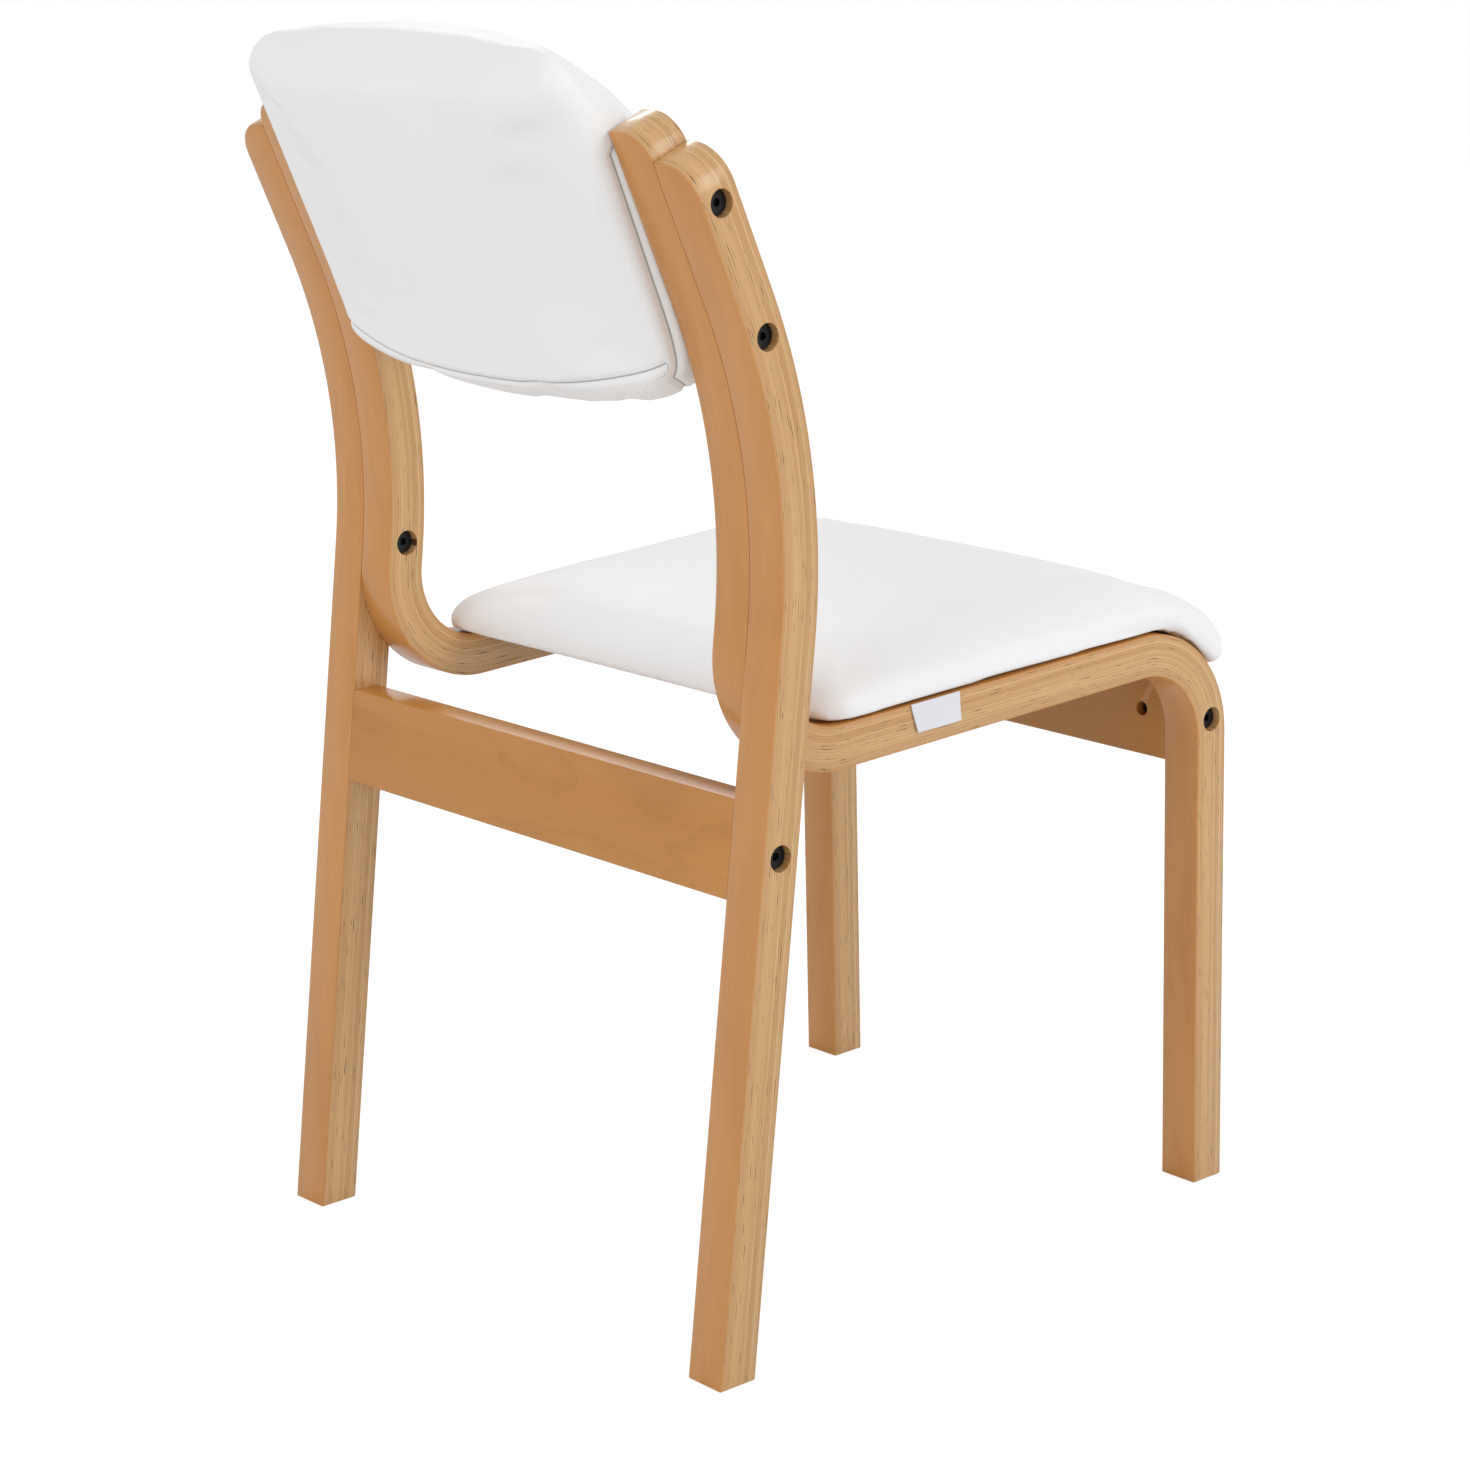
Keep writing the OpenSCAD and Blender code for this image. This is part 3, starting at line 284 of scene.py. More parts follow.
def raw_wood(name, light, glue_line_and_painted_pit_shade):
    # Unfinished wood inside the pads and joints: dry, pale, with plain straight grain
    finish, tree, surface = new_finish(name)
    place = add(tree, "TexCoord").outputs["Object"]
    grid = add(tree, "Mapping", {"Vector": place, "Scale": (12.0, 300.0, 300.0)})
    grain = add(tree, "TexNoise", {"Vector": grid.outputs[0], "Scale": 1.0, "Detail": 3.0})
    wood = add(tree, "ValToRGB", {0: grain.outputs[0]})
    wood.color_ramp.elements[0].position = 0.3
    wood.color_ramp.elements[0].color = colour(light)
    wood.color_ramp.elements[1].position = 0.75
    wood.color_ramp.elements[1].color = colour(glue_line_and_painted_pit_shade)
    tree.links.new(wood.outputs[0], surface.inputs["Base Color"])
    surface.inputs["Roughness"].default_value = 0.7
    return finish


def white_vinyl():
    # Upholstery vinyl: coated cloth with a fine pebbled skin of 0.9 mm cells, off-white,
    # with a soft wide sheen and hardly any colour of its own.
    finish, tree, surface = new_finish("white_upholstery_vinyl")
    place = add(tree, "TexCoord").outputs["Object"]
    cells = add(tree, "TexVoronoi", {"Vector": place, "Scale": 1 / (0.9 * MM)},
        feature="SMOOTH_F1")
    cells.inputs["Smoothness"].default_value = 0.6
    soil = add(tree, "TexNoise", {"Vector": place, "Scale": 9.0, "Detail": 2.0})
    tone = add(tree, "ValToRGB", {0: soil.outputs[0]})
    tone.color_ramp.elements[0].position = 0.3
    tone.color_ramp.elements[0].color = colour("#F1F1F1")
    tone.color_ramp.elements[1].position = 0.7
    tone.color_ramp.elements[1].color = colour("#EEEEEF")
    # The thread line where two panels meet, 1.1 mm wide, grey with shade and dust
    seam = add(tree, "Attribute", attribute_name="seam").outputs["Fac"]
    seam = add(tree, "Math", {0: seam}, operation="ABSOLUTE").outputs[0]
    line = add(tree, "MapRange", {"Value": seam, "From Min": 0.25 * MM, "From Max": 1.0 * MM,
        "To Min": 0.8, "To Max": 0.0}, interpolation_type="SMOOTHSTEP").outputs[0]
    skin = add(tree, "Mix", {"Factor": line, "A": tone.outputs[0], "B": colour("#8F8F90")},
        data_type="RGBA")
    tree.links.new(skin.outputs[2], surface.inputs["Base Color"])
    bump = add(tree, "Bump", {"Height": cells.outputs["Distance"], "Strength": 0.10,
        "Distance": 0.1 * MM})
    tree.links.new(bump.outputs[0], surface.inputs["Normal"])
    surface.inputs["Roughness"].default_value = 0.55
    surface.inputs["IOR"].default_value = 1.5
    return finish


def dust_cloth():
    # Spunbond polypropylene: thin black felt, matt, with a small pressed pattern
    finish, tree, surface = new_finish("black_spunbond_cloth")
    place = add(tree, "TexCoord").outputs["Object"]
    fibres = add(tree, "TexNoise", {"Vector": place, "Scale": 900.0, "Detail": 3.0})
    tone = add(tree, "ValToRGB", {0: fibres.outputs[0]})
    tone.color_ramp.elements[0].color = colour("#131313")
    tone.color_ramp.elements[1].color = colour("#262626")
    tree.links.new(tone.outputs[0], surface.inputs["Base Color"])
    bump = add(tree, "Bump", {"Height": fibres.outputs[0], "Strength": 0.4,
        "Distance": 0.2 * MM})
    tree.links.new(bump.outputs[0], surface.inputs["Normal"])
    surface.inputs["Roughness"].default_value = 0.9
    return finish


def blackened_steel():
    # Black oxide on steel: near black, half gloss, with a faint uneven bloom
    finish, tree, surface = new_finish("black_oxide_steel")
    place = add(tree, "TexCoord").outputs["Object"]
    bloom = add(tree, "TexNoise", {"Vector": place, "Scale": 240.0, "Detail": 2.0})
    tone = add(tree, "ValToRGB", {0: bloom.outputs[0]})
    tone.color_ramp.elements[0].color = colour("#141416")
    tone.color_ramp.elements[1].color = colour("#232326")
    rough = add(tree, "MapRange", {"Value": bloom.outputs[0], "To Min": 0.34, "To Max": 0.5})
    tree.links.new(tone.outputs[0], surface.inputs["Base Color"])
    tree.links.new(rough.outputs[0], surface.inputs["Roughness"])
    surface.inputs["Metallic"].default_value = 0.5
    return finish


def zinc_plate():
    # Bright zinc on turned steel: grey, with fine turning marks
    finish, tree, surface = new_finish("zinc_plated_steel")
    place = add(tree, "TexCoord").outputs["Object"]
    marks = add(tree, "TexNoise", {"Vector": place, "Scale": 1400.0, "Detail": 2.0})
    tone = add(tree, "ValToRGB", {0: marks.outputs[0]})
    tone.color_ramp.elements[0].color = colour("#A9ABAE")
    tone.color_ramp.elements[1].color = colour("#C6C8CA")
    rough = add(tree, "MapRange", {"Value": marks.outputs[0], "To Min": 0.25, "To Max": 0.4})
    tree.links.new(tone.outputs[0], surface.inputs["Base Color"])
    tree.links.new(rough.outputs[0], surface.inputs["Roughness"])
    surface.inputs["Metallic"].default_value = 1.0
    return finish


def woven_tape():
    # White polyester tape: warp and weft threads 0.35 mm apart, drawn at 0.6 mm so that
    # they show, with a slight silky sheen.
    finish, tree, surface = new_finish("white_woven_tape")
    place = add(tree, "TexCoord").outputs["Object"]
    pitch = 1 / (0.6 * MM) / 3.18
    warp = add(tree, "TexWave", {"Vector": place, "Scale": pitch}, wave_type="BANDS",
        bands_direction="Y")
    weft = add(tree, "TexWave", {"Vector": place, "Scale": pitch}, wave_type="BANDS",
        bands_direction="Z")
    weave = add(tree, "Math", {0: warp.outputs["Fac"], 1: weft.outputs["Fac"]},
        operation="MULTIPLY").outputs[0]
    tone = add(tree, "ValToRGB", {0: weave})
    tone.color_ramp.elements[0].color = colour("#D9DBE3")
    tone.color_ramp.elements[1].color = colour("#F2F3F7")
    tree.links.new(tone.outputs[0], surface.inputs["Base Color"])
    bump = add(tree, "Bump", {"Height": weave, "Strength": 0.35, "Distance": 0.15 * MM})
    tree.links.new(bump.outputs[0], surface.inputs["Normal"])
    surface.inputs["Roughness"].default_value = 0.6
    surface.inputs["Sheen Weight"].default_value = 0.2
    return finish


BENT_PLY = bent_birch_ply()
SAWN_BIRCH = solid_birch()
RAW_BOARD = raw_wood("raw_poplar_ply", "#D9BE97", "#BD9A6C")
RAW_DOWEL = raw_wood("raw_beech_dowel", "#DDBE95", "#C49C6E")
VINYL = white_vinyl()
DUST_CLOTH = dust_cloth()
BLACK_STEEL = blackened_steel()
ZINC = zinc_plate()
TAPE = woven_tape()

for node, finish in {
        "backrest_board": RAW_BOARD, "backrest_batten_right": RAW_BOARD,
        "backrest_batten_left": RAW_BOARD, "seat_board": RAW_BOARD,
        "stretcher_dowels": RAW_DOWEL, "apron_dowels": RAW_DOWEL,
        "backrest_bolts_right": BLACK_STEEL, "backrest_bolts_left": BLACK_STEEL,
        "joint_bolts": BLACK_STEEL, "stretcher_bolts": BLACK_STEEL, "apron_bolts": BLACK_STEEL,
        "backrest_inserts": ZINC, "joint_inserts": ZINC, "stretcher_barrel_nuts": ZINC,
        "apron_barrel_nuts": BLACK_STEEL, "seat_screws": ZINC}.items():
    nodes[node].data.materials.clear()
    nodes[node].data.materials.append(finish)


# Bent strips
def heading(angle):
    return Vector((0, cos(radians(angle)), sin(radians(angle))))


def left_of(angle):
    return Vector((0, -sin(radians(angle)), cos(radians(angle))))


def place_in_strip(point, start, bearing, steps):
    """How far along the strip a point lies, and how deep between its two faces."""
    best = None
    travelled = 0.0
    spot, angle = start.copy(), bearing
    for number, (run, radius, turn) in enumerate(steps):
        offset = Vector((0, point.y, point.z)) - Vector((0, spot.y, spot.z))
        reach, depth = offset.dot(heading(angle)), offset.dot(left_of(angle))
        low = -1.0 if number == 0 else -1e-5
        if low <= reach <= run + 1e-5 and abs(depth) < STRIP_THICKNESS:
            best = best or (travelled + reach, depth)
        travelled += run
        spot = spot + run * heading(angle)
        if turn:
            side = 1 if turn > 0 else -1
            centre = spot + side * radius * left_of(angle)
            arm = Vector((0, point.y, point.z)) - Vector((0, centre.y, centre.z))
            first = -side * left_of(angle)
            swept = atan2(side * (first.y * arm.z - first.z * arm.y), first.dot(arm))
            if -1e-4 <= swept <= radians(abs(turn)) + 1e-4 \
                    and abs(arm.length - radius) < STRIP_THICKNESS:
                best = best or (travelled + swept * radius, side * (radius - arm.length))
            travelled += radius * radians(abs(turn))
            angle += turn
            spot = centre - side * radius * left_of(angle)
    if best is None:
        offset = Vector((0, point.y, point.z)) - Vector((0, spot.y, spot.z))
        best = (travelled + offset.dot(heading(angle)), offset.dot(left_of(angle)))
    return best


def press_strip(name, start, bearing, steps, outer, round_end, recesses, offset):
    """Lays a strip's section on the floor, draws it up and round its bends, and drills it."""
    inner = outer + STRIP_WIDTH
    bpy.ops.mesh.primitive_plane_add(size=1, location=(0, 0, 0))
    strip = bpy.context.object
    strip.name = name
    strip.scale = (STRIP_WIDTH, STRIP_THICKNESS, 1)
    strip.rotation_euler = (radians(bearing - 90), 0, 0)
    strip.location = (outer + STRIP_WIDTH / 2, start.y, start.z)
    settle(strip)
    begin_edit(strip)
    bpy.ops.mesh.select_all(action="SELECT")
    spot, angle = start.copy(), bearing
    for run, radius, turn in steps:
        if run:
            bpy.ops.mesh.extrude_region_move(
                TRANSFORM_OT_translate={"value": run * heading(angle)})
            spot = spot + run * heading(angle)
        if turn:
            side = 1 if turn > 0 else -1
            centre = spot + side * radius * left_of(angle)
            bpy.ops.mesh.spin(steps=max(8, round(abs(turn) / 1.6)), angle=-radians(turn),
                center=(0, centre.y, centre.z), axis=(1, 0, 0))
            angle += turn
            spot = centre - side * radius * left_of(angle)
    bpy.ops.mesh.select_all(action="SELECT")
    bpy.ops.mesh.remove_doubles(threshold=0.00001)
    bpy.ops.mesh.bisect(plane_co=(0, 0, 0), plane_no=(0, 0, 1), use_fill=True,
        clear_inner=True)
    bpy.ops.mesh.select_all(action="SELECT")
    bpy.ops.mesh.normals_make_consistent(inside=False)
    bpy.ops.mesh.select_all(action="DESELECT")

    # A quarter round at the outer corner of the top end
    select_edges(strip, lambda p: abs((p - spot).dot(heading(angle))) < 1e-5
        and abs(p.x - outer) < 1e-5)
    bpy.ops.mesh.bevel(offset=round_end, segments=14, affect="EDGES")
    bpy.ops.mesh.select_all(action="DESELECT")

    # Every long edge has its arris taken off
    bpy.ops.mesh.edges_select_sharp(sharpness=radians(40))
    bpy.ops.mesh.bevel(offset=ARRIS, segments=2, affect="EDGES")
    end_edit()

    for point, mouth, inwards in recesses:
        bpy.ops.mesh.primitive_cylinder_add(vertices=64, radius=RECESS_ACROSS / 2,
            depth=2 * RECESS_DEPTH, location=(mouth, point[0], point[1]),
            rotation=(0, radians(90), 0))
        drill = bpy.context.object
        settle(drill)
        begin_edit(drill)
        bpy.ops.mesh.select_mode(type="FACE")
        shape = bmesh.from_edit_mesh(drill.data)
        for face in shape.faces:
            face.select_set(face.normal.x * inwards > 0.9)
        bpy.ops.mesh.inset(thickness=(RECESS_ACROSS - BORE_ACROSS) / 2, depth=0)
        bpy.ops.mesh.extrude_region_move(
            TRANSFORM_OT_translate={"value": (inwards * (STRIP_WIDTH + RECESS_DEPTH), 0, 0)})
        end_edit()
        bore = strip.modifiers.new("bore", "BOOLEAN")
        bore.operation = "DIFFERENCE"
        bore.solver = "EXACT"
        bore.object = drill
        apply_modifiers(strip)
        bpy.data.objects.remove(drill)

    # The lay of the veneers: along the strip, through its thickness, across the chair
    lay = strip.data.attributes.new("lay", "FLOAT_VECTOR", "POINT")
    for vertex in strip.data.vertices:
        run, depth = place_in_strip(vertex.co, start, bearing, steps)
        lay.data[vertex.index].vector = (run + offset, depth, vertex.co.x - outer + offset)
    pick_up(strip)
    bpy.ops.object.shade_smooth_by_angle(angle=radians(30))
    return strip


def toe_in(strip):
    """Sets a strip in its place at the sitter's right, turned in by the frames' toe."""
    strip.rotation_euler = (0, 0, -TOE)
    strip.location = (-HALF_CHAIR, MIDDLE, 0)
    settle(strip)


def mirrored(strip, name, offset):
    """The same strip at the sitter's left, with its own stretch of veneer."""
    pick_up(strip)
    bpy.ops.object.duplicate()
    other = bpy.context.object
    other.name = name
    other.scale = (-1, 1, 1)
    settle(other)
    begin_edit(other)
    bpy.ops.mesh.select_all(action="SELECT")
    bpy.ops.mesh.normals_make_consistent(inside=False)
    end_edit()
    lay = other.data.attributes["lay"]
    for item in lay.data:
        item.vector = item.vector + Vector((offset, 0, offset))
    pick_up(other)
    bpy.ops.object.shade_smooth_by_angle(angle=radians(30))
    return other


POST_BEND = REAR_FACE_RADIUS + STRIP_THICKNESS / 2
post_foot = -BELOW_FLOOR * heading(LEG_HEADING) + STRIP_THICKNESS / 2 * left_of(LEG_HEADING)
post_steps = [(LEG_RUN + BELOW_FLOOR, POST_BEND, -POST_TURN), (POST_TOP_RUN, 0, 0)]
back_bolts = [(-38.0413 * MM, 650.35 * MM), (-1.97025 * MM, 730.449 * MM)]
stretcher_bolt = (-49.5254 * MM, 332.484 * MM)
joint_bolt = (-63.8379 * MM, 469.122 * MM)
apron_bolt = (-483.952 * MM, 340 * MM)

rear_post_right = press_strip("bent_rear_post_right", post_foot, LEG_HEADING, post_steps, 0,
    POST_ROUND, [(point, 0, 1) for point in back_bolts + [stretcher_bolt]], 0)
toe_in(rear_post_right)
rear_post_left = mirrored(rear_post_right, "bent_rear_post_left", 3.1)

front_top = Vector((0, -484.314 * MM, 328.478 * MM))
front_foot = front_top - (FRONT_RUN + BELOW_FLOOR) * heading(FRONT_HEADING)
frame_steps = [(FRONT_RUN + BELOW_FLOOR, FRONT_RADIUS, -FRONT_TURN),
    (RAIL_RUN, REAR_RADIUS, REAR_TURN), (UPRIGHT_RUN, POST_BEND, -POST_TURN),
    (POST_TOP_RUN + FRAME_RISE, 0, 0)]
seat_frame_right = press_strip("bent_seat_frame_right", front_foot, FRONT_HEADING, frame_steps,
    STRIP_WIDTH, FRAME_ROUND,
    [(joint_bolt, 2 * STRIP_WIDTH, -1), (apron_bolt, STRIP_WIDTH, 1)], 7.7)
toe_in(seat_frame_right)
seat_frame_left = mirrored(seat_frame_right, "bent_seat_frame_left", 5.3)

for strip, node in ((rear_post_right, "rear_post_right"), (rear_post_left, "rear_post_left"),
        (seat_frame_right, "seat_frame_right"), (seat_frame_left, "seat_frame_left")):
    dress(strip, BENT_PLY, "bent_ply", node)


# Stretcher and apron
def ease_board(node, name):
    """A board with its long arrises eased by hand plane."""
    board = copy_of_node(node, name)
    begin_edit(board)
    bpy.ops.mesh.select_all(action="SELECT")
    bpy.ops.mesh.dissolve_limited(angle_limit=radians(0.5))
    bpy.ops.mesh.select_all(action="DESELECT")
    shape = bmesh.from_edit_mesh(board.data)
    bpy.ops.mesh.select_mode(type="EDGE")
    for edge in shape.edges:
        long = abs(edge.verts[0].co.x - edge.verts[1].co.x) > 0.2
        edge.select_set(long and edge.calc_face_angle(0) > radians(60))
    bmesh.update_edit_mesh(board.data)
    bpy.ops.mesh.bevel(offset=1.2 * MM, segments=3, affect="EDGES")
    end_edit()
    pick_up(board)
    bpy.ops.object.shade_smooth_by_angle(angle=radians(35))
    dress(board, SAWN_BIRCH, "solid_wood", node)
    return board


ease_board("rear_stretcher", "sawn_rear_stretcher")
ease_board("front_apron", "sawn_front_apron")


# Upholstery
def outer_shell(pad):
    """Leaves only the largest closed skin, so that no inner pocket is stuffed."""
    begin_edit(pad)
    bpy.ops.mesh.select_all(action="SELECT")
    bpy.ops.mesh.separate(type="LOOSE")
    end_edit()
    skins = sorted(bpy.context.selected_objects, key=lambda o: len(o.data.vertices))
    for inner in skins[:-1]:
        bpy.data.objects.remove(inner)
    return skins[-1]


def points_of(piece):
    points = np.empty(len(piece.data.vertices) * 3)
    piece.data.vertices.foreach_get("co", points)
    return points.reshape(-1, 3)


def normals_of(piece):
    normals = np.empty(len(piece.data.vertices) * 3)
    piece.data.vertices.foreach_get("normal", normals)
    return normals.reshape(-1, 3)


def put_points(piece, points):
    piece.data.vertices.foreach_set("co", points.ravel())
    piece.data.update()


def stuff_pad(name, cut_from, voxel, rounds, shrink, cap, rests):
    """Cuts the pad a little small, stuffs it by cloth simulation, and stops it at a cap."""
    copies = [copy_of_node(node, name) for node in cut_from]
    pad = copies[0]
    if len(copies) > 1:
        pick_up(pad)
        for other in copies[1:]:
            other.select_set(True)
        bpy.ops.object.join()
    remesh = pad.modifiers.new("remesh", "REMESH")
    remesh.mode = "VOXEL"
    remesh.voxel_size = voxel
    apply_modifiers(pad)
    pad = outer_shell(pad)
    soften = pad.modifiers.new("soften", "SMOOTH")
    soften.factor = 0.5
    soften.iterations = rounds
    apply_modifiers(pad)
    rest, normals = points_of(pad), normals_of(pad)
    still = rests(rest, normals)
    held = pad.vertex_groups.new(name="held")
    held.add([int(i) for i in np.flatnonzero(still)], 1.0, "REPLACE")
    put_points(pad, rest - normals * np.where(still, 0, shrink)[:, None])
    cloth = pad.modifiers.new("stuffing", "CLOTH")
    cloth.settings.quality = 6
    cloth.settings.mass = 0.3
    cloth.settings.use_pressure = True
    cloth.settings.uniform_pressure_force = 4
    cloth.settings.tension_stiffness = 25
    cloth.settings.compression_stiffness = 25
    cloth.settings.bending_stiffness = 2
    cloth.settings.vertex_group_mass = "held"
    cloth.settings.effector_weights.gravity = 0
    cloth.collision_settings.use_collision = False
    for number in range(1, 21):
        bpy.context.scene.frame_set(number)
    apply_modifiers(pad)
    bpy.context.scene.frame_set(1)
    move = points_of(pad) - rest
    far = np.maximum(np.linalg.norm(move, axis=1), 1e-9)
    put_points(pad, rest + move * np.minimum(1, cap / far)[:, None])
    soften = pad.modifiers.new("soften", "SMOOTH")
    soften.factor = 0.5
    soften.iterations = 3
    apply_modifiers(pad)
    smooth = pad.modifiers.new("smooth", "SUBSURF")
    smooth.levels = smooth.render_levels = 1
    apply_modifiers(pad)
    pick_up(pad)
    bpy.ops.object.shade_smooth()
    dress(pad, VINYL, "vinyl", *cut_from)
    return pad


def seat_rests(points, normals):
    return (normals[:, 2] < -0.75) & (np.abs(points[:, 0]) < 0.19)


def back_rests(points, normals):
    return (np.abs(points[:, 0]) > 0.157) & (np.abs(normals[:, 0]) > 0.8)


seat_pad = stuff_pad("seat_pad", ["seat_cushion"], 4 * MM, 2, 0.5 * MM, 3 * MM, seat_rests)
back_pad = stuff_pad("backrest_pad", ["backrest_front_cushion", "backrest_rear_cushion"],
    4 * MM, 20, 1.0 * MM, 3 * MM, back_rests)

# Under its cover the seat's foam settles by a fifth of its height over the rails' plane,
# and by more where it thins out towards the rear edge
SEAT_SETTLE, REAR_SETTLE, RAIL_SLOPE = 0.20, 0.18, 0.0437
RAIL_TOP, RAIL_REAR = 396.8 * MM, 91.4 * MM
THIN_FROM, PAD_REAR = 20 * MM, 111 * MM
points = points_of(seat_pad)
height = np.maximum(0, points[:, 2] - RAIL_TOP - (RAIL_REAR - points[:, 1]) * RAIL_SLOPE)
thinned = np.clip((points[:, 1] - THIN_FROM) / (PAD_REAR - THIN_FROM), 0, 1) ** 2
points[:, 2] -= (SEAT_SETTLE + REAR_SETTLE * thinned) * height
put_points(seat_pad, points)

# Seams of the backrest, drawn in by the thread. One runs down beside each post, hidden by
# it at the top, and curls forward at the foot. The other crosses above the lower edge.
SEAM_DEPTH, SEAM_TILT, SEAM_CURL = 7 * MM, 0.03, 1.3
SEAM_HIDES_AT, SEAM_CURLS_AT = 307 * MM, 158 * MM
SEAM_RISE, SEAM_BOW = 28 * MM, 20 * MM
SEAM_PULL, SEAM_HALF_WIDTH = 1.8 * MM, 4.5 * MM
REAR_SWELL, POST_TOP = 0.45, 311 * MM
PAD_START, PAD_HALF, PAD_REACH = 125 * MM, 160 * MM, 160.2 * MM
NO_SEAM = 1
BEND_LENGTH = REAR_FACE_RADIUS * radians(POST_TURN)
BEND_CENTRE = np.array(LEG_RUN * heading(LEG_HEADING) - REAR_FACE_RADIUS * left_of(LEG_HEADING)
    + Vector((0, MIDDLE, 0)))[1:]
points, normals = points_of(back_pad), normals_of(back_pad)
arms = points[:, 1:] - BEND_CENTRE
top_run = np.array(heading(LEG_HEADING - POST_TURN))[1:]
top_side = np.array(left_of(LEG_HEADING - POST_TURN))[1:]
reach = arms @ top_run
straight = (reach > 0)[:, None]
forward = np.where(straight, top_side, arms / np.linalg.norm(arms, axis=1)[:, None])
depth = np.sum(arms * forward, axis=1) - REAR_FACE_RADIUS
swept = np.arctan2(reach, arms @ top_side) * REAR_FACE_RADIUS
climb = BEND_LENGTH + np.where(reach > 0, reach, swept)
beside = depth + SEAM_DEPTH - SEAM_TILT * (climb - PAD_START) \
    - SEAM_CURL * np.maximum(0, climb - SEAM_HIDES_AT) \
    - SEAM_CURL * np.maximum(0, SEAM_CURLS_AT - climb)
below = PAD_START + SEAM_RISE + SEAM_BOW * (points[:, 0] / PAD_HALF) ** 2 - climb
below = np.where(beside < -SEAM_HALF_WIDTH, below, NO_SEAM)
away = np.where(np.abs(beside) < np.abs(below), beside, below)
away = np.where(climb > POST_TOP, NO_SEAM, away)
pull = np.where(np.abs(away) < SEAM_HALF_WIDTH,
    0.5 + 0.5 * np.cos(pi * away / SEAM_HALF_WIDTH), 0)
points = points - normals * (SEAM_PULL * pull)[:, None]
points[:, 1:] += forward * (REAR_SWELL * np.minimum(0, depth + SEAM_DEPTH))[:, None]
points[:, 0] = np.clip(points[:, 0], -PAD_REACH, PAD_REACH)
put_points(back_pad, points)
plain = np.full(len(seat_pad.data.vertices), NO_SEAM, dtype=float)
for pad, seam in ((back_pad, away), (seat_pad, plain)):
    stitches = pad.data.attributes.new("seam", "FLOAT", "POINT")
    stitches.data.foreach_set("value", seam)


# Cloth
def dust_sheet():
    """Felt stretched under the seat board, its edge stopping short of the rails' faces."""
    across, along = 32, 72
    half_width, sag, ripple, staple_pitch = 186 * MM, 2.2 * MM, 0.35 * MM, 55 * MM
    first, last = 12 * MM, 352 * MM
    lift, thickness, rail_shift = 0.7 * MM, 0.6 * MM, 0.6 * MM
    wrap_radius = FRONT_RADIUS + STRIP_THICKNESS / 2
    rail_heading = 180 + FRONT_HEADING - FRONT_TURN
    centre = front_top - FRONT_RADIUS * left_of(FRONT_HEADING)
    rail_start = centre - FRONT_RADIUS * left_of(rail_heading) - RAIL_RUN * heading(rail_heading)
    shape = bmesh.new()
    rows = []
    for j in range(along + 1):
        place = first + (last - first) * j / along
        turn = max(0, place - RAIL_RUN) / wrap_radius
        out = -left_of(rail_heading + turn * 180 / pi)
        if turn:
            spot = centre + wrap_radius * out
        else:
            spot = rail_start + place * heading(rail_heading) + STRIP_THICKNESS / 2 * out
        row = []
        for i in range(across + 1):
            x = half_width * (2 * i / across - 1)
            free = 1 - (x / half_width) ** 2
            pucker = ripple * cos(2 * pi * place / staple_pitch)
            lower = free * (sag * sin(pi * j / along) + pucker)
            point = spot + (lift - lower) * out + Vector((x, MIDDLE - rail_shift, 0))
            row.append(shape.verts.new(point))
        rows.append(row)
    for low, high in zip(rows, rows[1:]):
        for i in range(across):
            shape.faces.new((low[i], low[i + 1], high[i + 1], high[i]))
    mesh = bpy.data.meshes.new("seat_dust_cloth")
    shape.to_mesh(mesh)
    shape.free()
    sheet = bpy.data.objects.new("seat_dust_cloth", mesh)
    bpy.context.scene.collection.objects.link(sheet)
    felt = sheet.modifiers.new("felt", "SOLIDIFY")
    felt.thickness = thickness
    felt.offset = 0
    apply_modifiers(sheet)
    pick_up(sheet)
    bpy.ops.object.shade_smooth()
    dress(sheet, DUST_CLOTH, "dust_cloth", "seat_dust_cover")


def woven_tab():
    """A tape end caught under the pad, hanging on the rail with its free edge curled out."""
    tab = copy_of_node("side_tab", "woven_side_tab")
    begin_edit(tab)
    bpy.ops.mesh.select_all(action="SELECT")
    bpy.ops.mesh.subdivide(number_cuts=14)
    end_edit()
    points = points_of(tab)
    low, high = points.min(axis=0), points.max(axis=0)
    hang = (high[2] - points[:, 2]) / (high[2] - low[2])
    along = (points[:, 1] - low[1]) / (high[1] - low[1])
    curl, wave = 1.3 * MM, 0.3 * MM
    points[:, 0] -= curl * hang ** 2 + wave * hang * np.sin(2 * pi * along)
    put_points(tab, points)
    edges = tab.modifiers.new("edges", "BEVEL")
    edges.width = 0.25 * MM
    edges.segments = 2
    edges.limit_method = "ANGLE"
    apply_modifiers(tab)
    pick_up(tab)
    bpy.ops.object.shade_smooth_by_angle(angle=radians(40))
    dress(tab, TAPE, "woven_tab", "side_tab")


dust_sheet()
woven_tab()


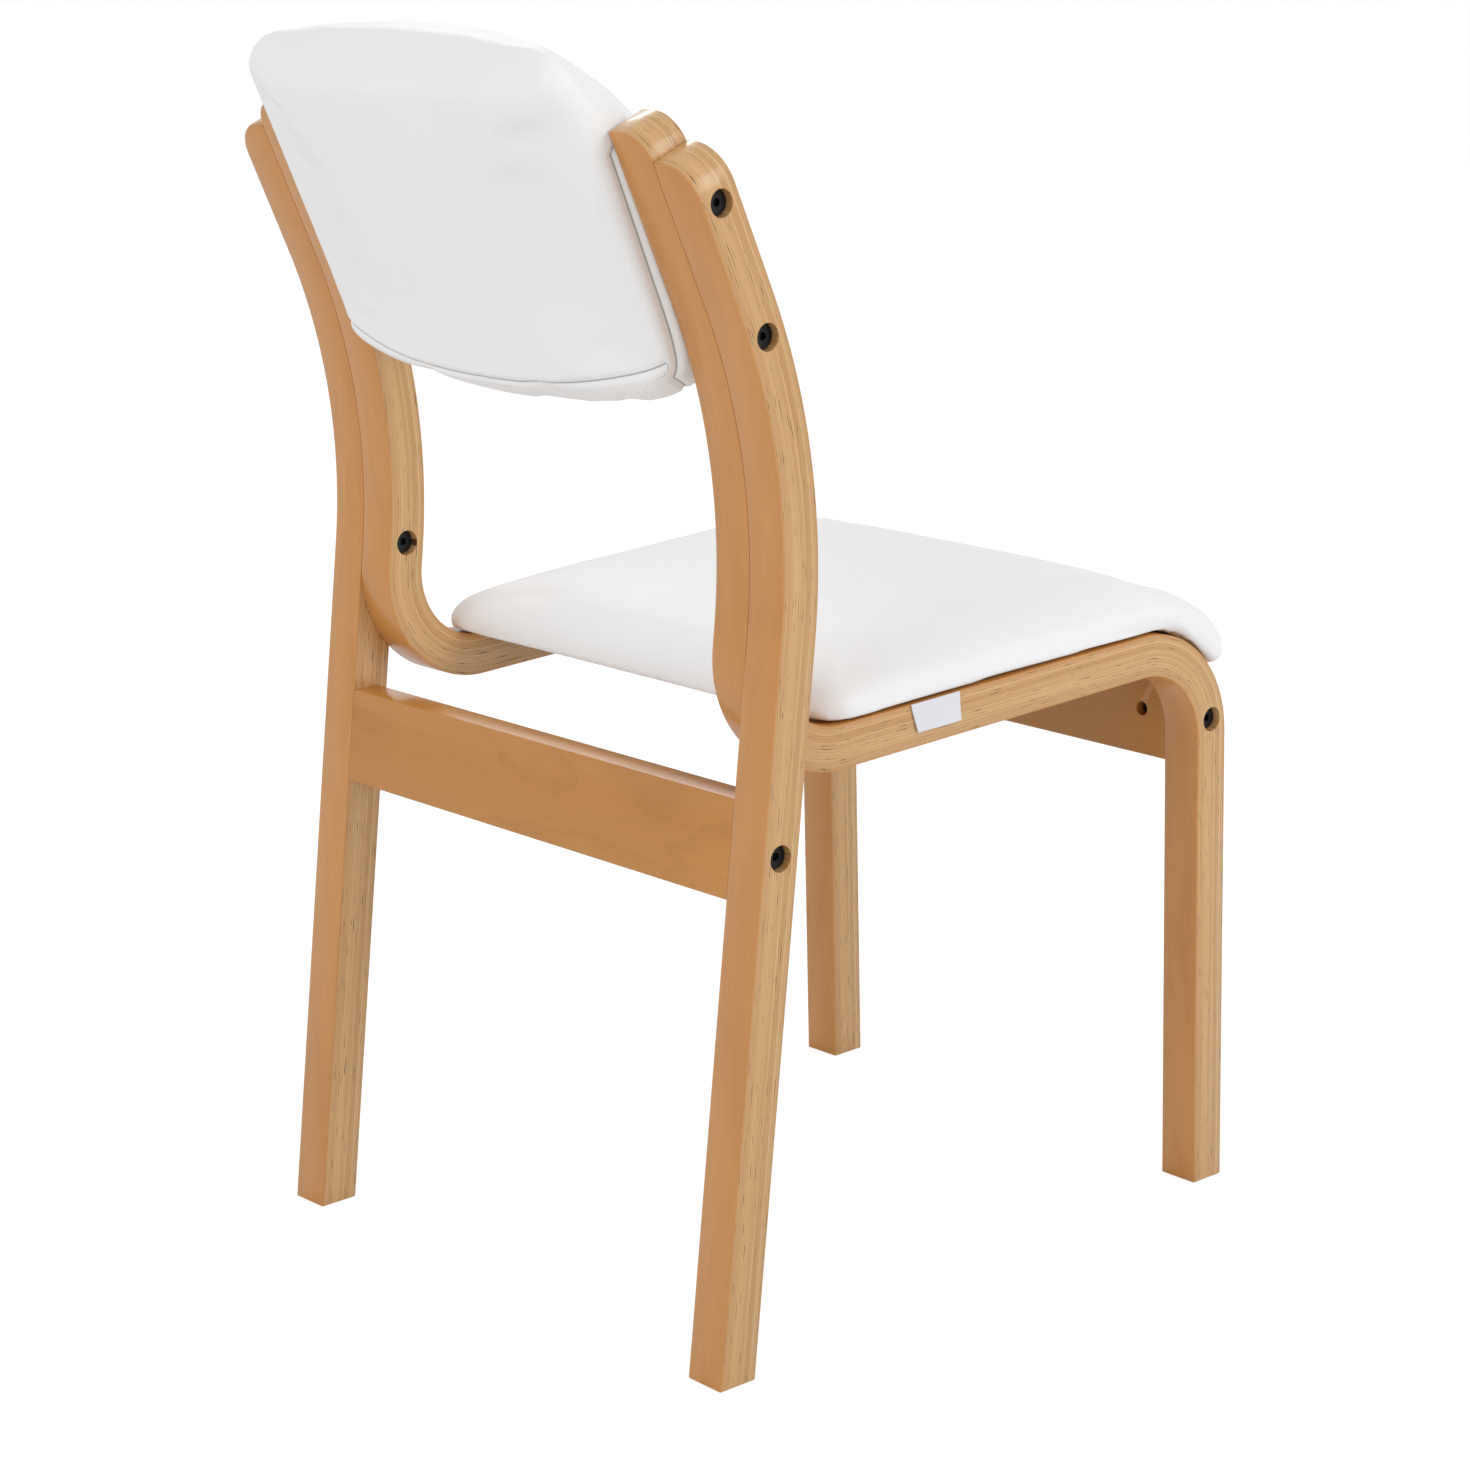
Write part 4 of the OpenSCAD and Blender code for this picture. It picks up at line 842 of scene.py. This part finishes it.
# Floor, light and camera
def studio_floor():
    # Seamless white paper: it reads as white from the camera, and keeps a faint shadow
    finish = bpy.data.materials.new("white_studio_paper")
    finish.use_nodes = True
    tree = finish.node_tree
    tree.nodes.clear()
    paper = add(tree, "BsdfDiffuse", {"Color": colour("#F4F4F4")})
    dim = add(tree, "BsdfDiffuse", {"Color": colour("#8E8E8E")})
    glow = add(tree, "Emission", {"Color": (1, 1, 1, 1), "Strength": 0.85})
    seen = add(tree, "AddShader", {0: dim.outputs[0], 1: glow.outputs[0]})
    path = add(tree, "LightPath")
    mix = add(tree, "MixShader", {0: path.outputs["Is Camera Ray"], 1: paper.outputs[0],
        2: seen.outputs[0]})
    output = add(tree, "OutputMaterial")
    tree.links.new(mix.outputs[0], output.inputs["Surface"])
    return finish


bpy.context.scene.view_settings.view_transform = "Standard"

bpy.ops.mesh.primitive_plane_add(size=14, location=(0, 0, 0))
floor = bpy.context.object
floor.name = "studio_floor"
floor.data.materials.append(studio_floor())

world = bpy.data.worlds.new("studio")
bpy.context.scene.world = world
world.use_nodes = True
tree = world.node_tree
tree.nodes.clear()
path = add(tree, "LightPath")
seen = add(tree, "Math", {0: path.outputs["Is Camera Ray"], 1: path.outputs["Is Glossy Ray"]},
    operation="MAXIMUM").outputs[0]
seen = add(tree, "Math", {0: seen, 1: path.outputs["Is Transmission Ray"]},
    operation="MAXIMUM").outputs[0]
level = add(tree, "MapRange", {"Value": seen, "To Min": 0.72, "To Max": 1.0}).outputs[0]
sky = add(tree, "Background", {"Color": (1, 1, 1, 1), "Strength": level})
output = add(tree, "OutputWorld")
tree.links.new(sky.outputs[0], output.inputs["Surface"])


def softbox(name, place, aim, width, height, watts):
    lamp = bpy.data.lights.new(name, "AREA")
    lamp.shape = "RECTANGLE"
    lamp.size, lamp.size_y = width, height
    lamp.energy = watts
    box = bpy.data.objects.new(name, lamp)
    bpy.context.scene.collection.objects.link(box)
    box.location = place
    box.rotation_euler = (Vector(aim) - Vector(place)).to_track_quat("-Z", "Y").to_euler()


softbox("side_softbox", (-2.6, -0.9, 1.9), (0, 0, 0.5), 1.6, 1.6, 25)
softbox("rear_softbox", (-0.4, 3.0, 2.0), (0, 0, 0.5), 1.8, 1.8, 18)
softbox("far_softbox", (2.2, -1.5, 2.2), (0, 0, 0.5), 0.8, 0.8, 8)

camera_data = bpy.data.cameras.new("camera")
camera = bpy.data.objects.new("camera", camera_data)
bpy.context.scene.collection.objects.link(camera)
bpy.context.scene.camera = camera
YAW, PITCH = 0.8201, 0.2232
PHOTO_LONG_SIDE, FOCAL_LENGTH_IN_PIXELS, SENSOR = 1471, 3486.5, 36
camera.location = (-1.6800, 1.5697, 0.9315)
camera_data.lens = FOCAL_LENGTH_IN_PIXELS * SENSOR / PHOTO_LONG_SIDE
camera_data.sensor_width = SENSOR
camera_data.shift_y = -0.07
look = Vector((sin(YAW) * cos(PITCH), -cos(YAW) * cos(PITCH), -sin(PITCH)))
camera.rotation_mode = "QUATERNION"
camera.rotation_quaternion = look.to_track_quat("-Z", "Y")

bpy.context.view_layer.update()
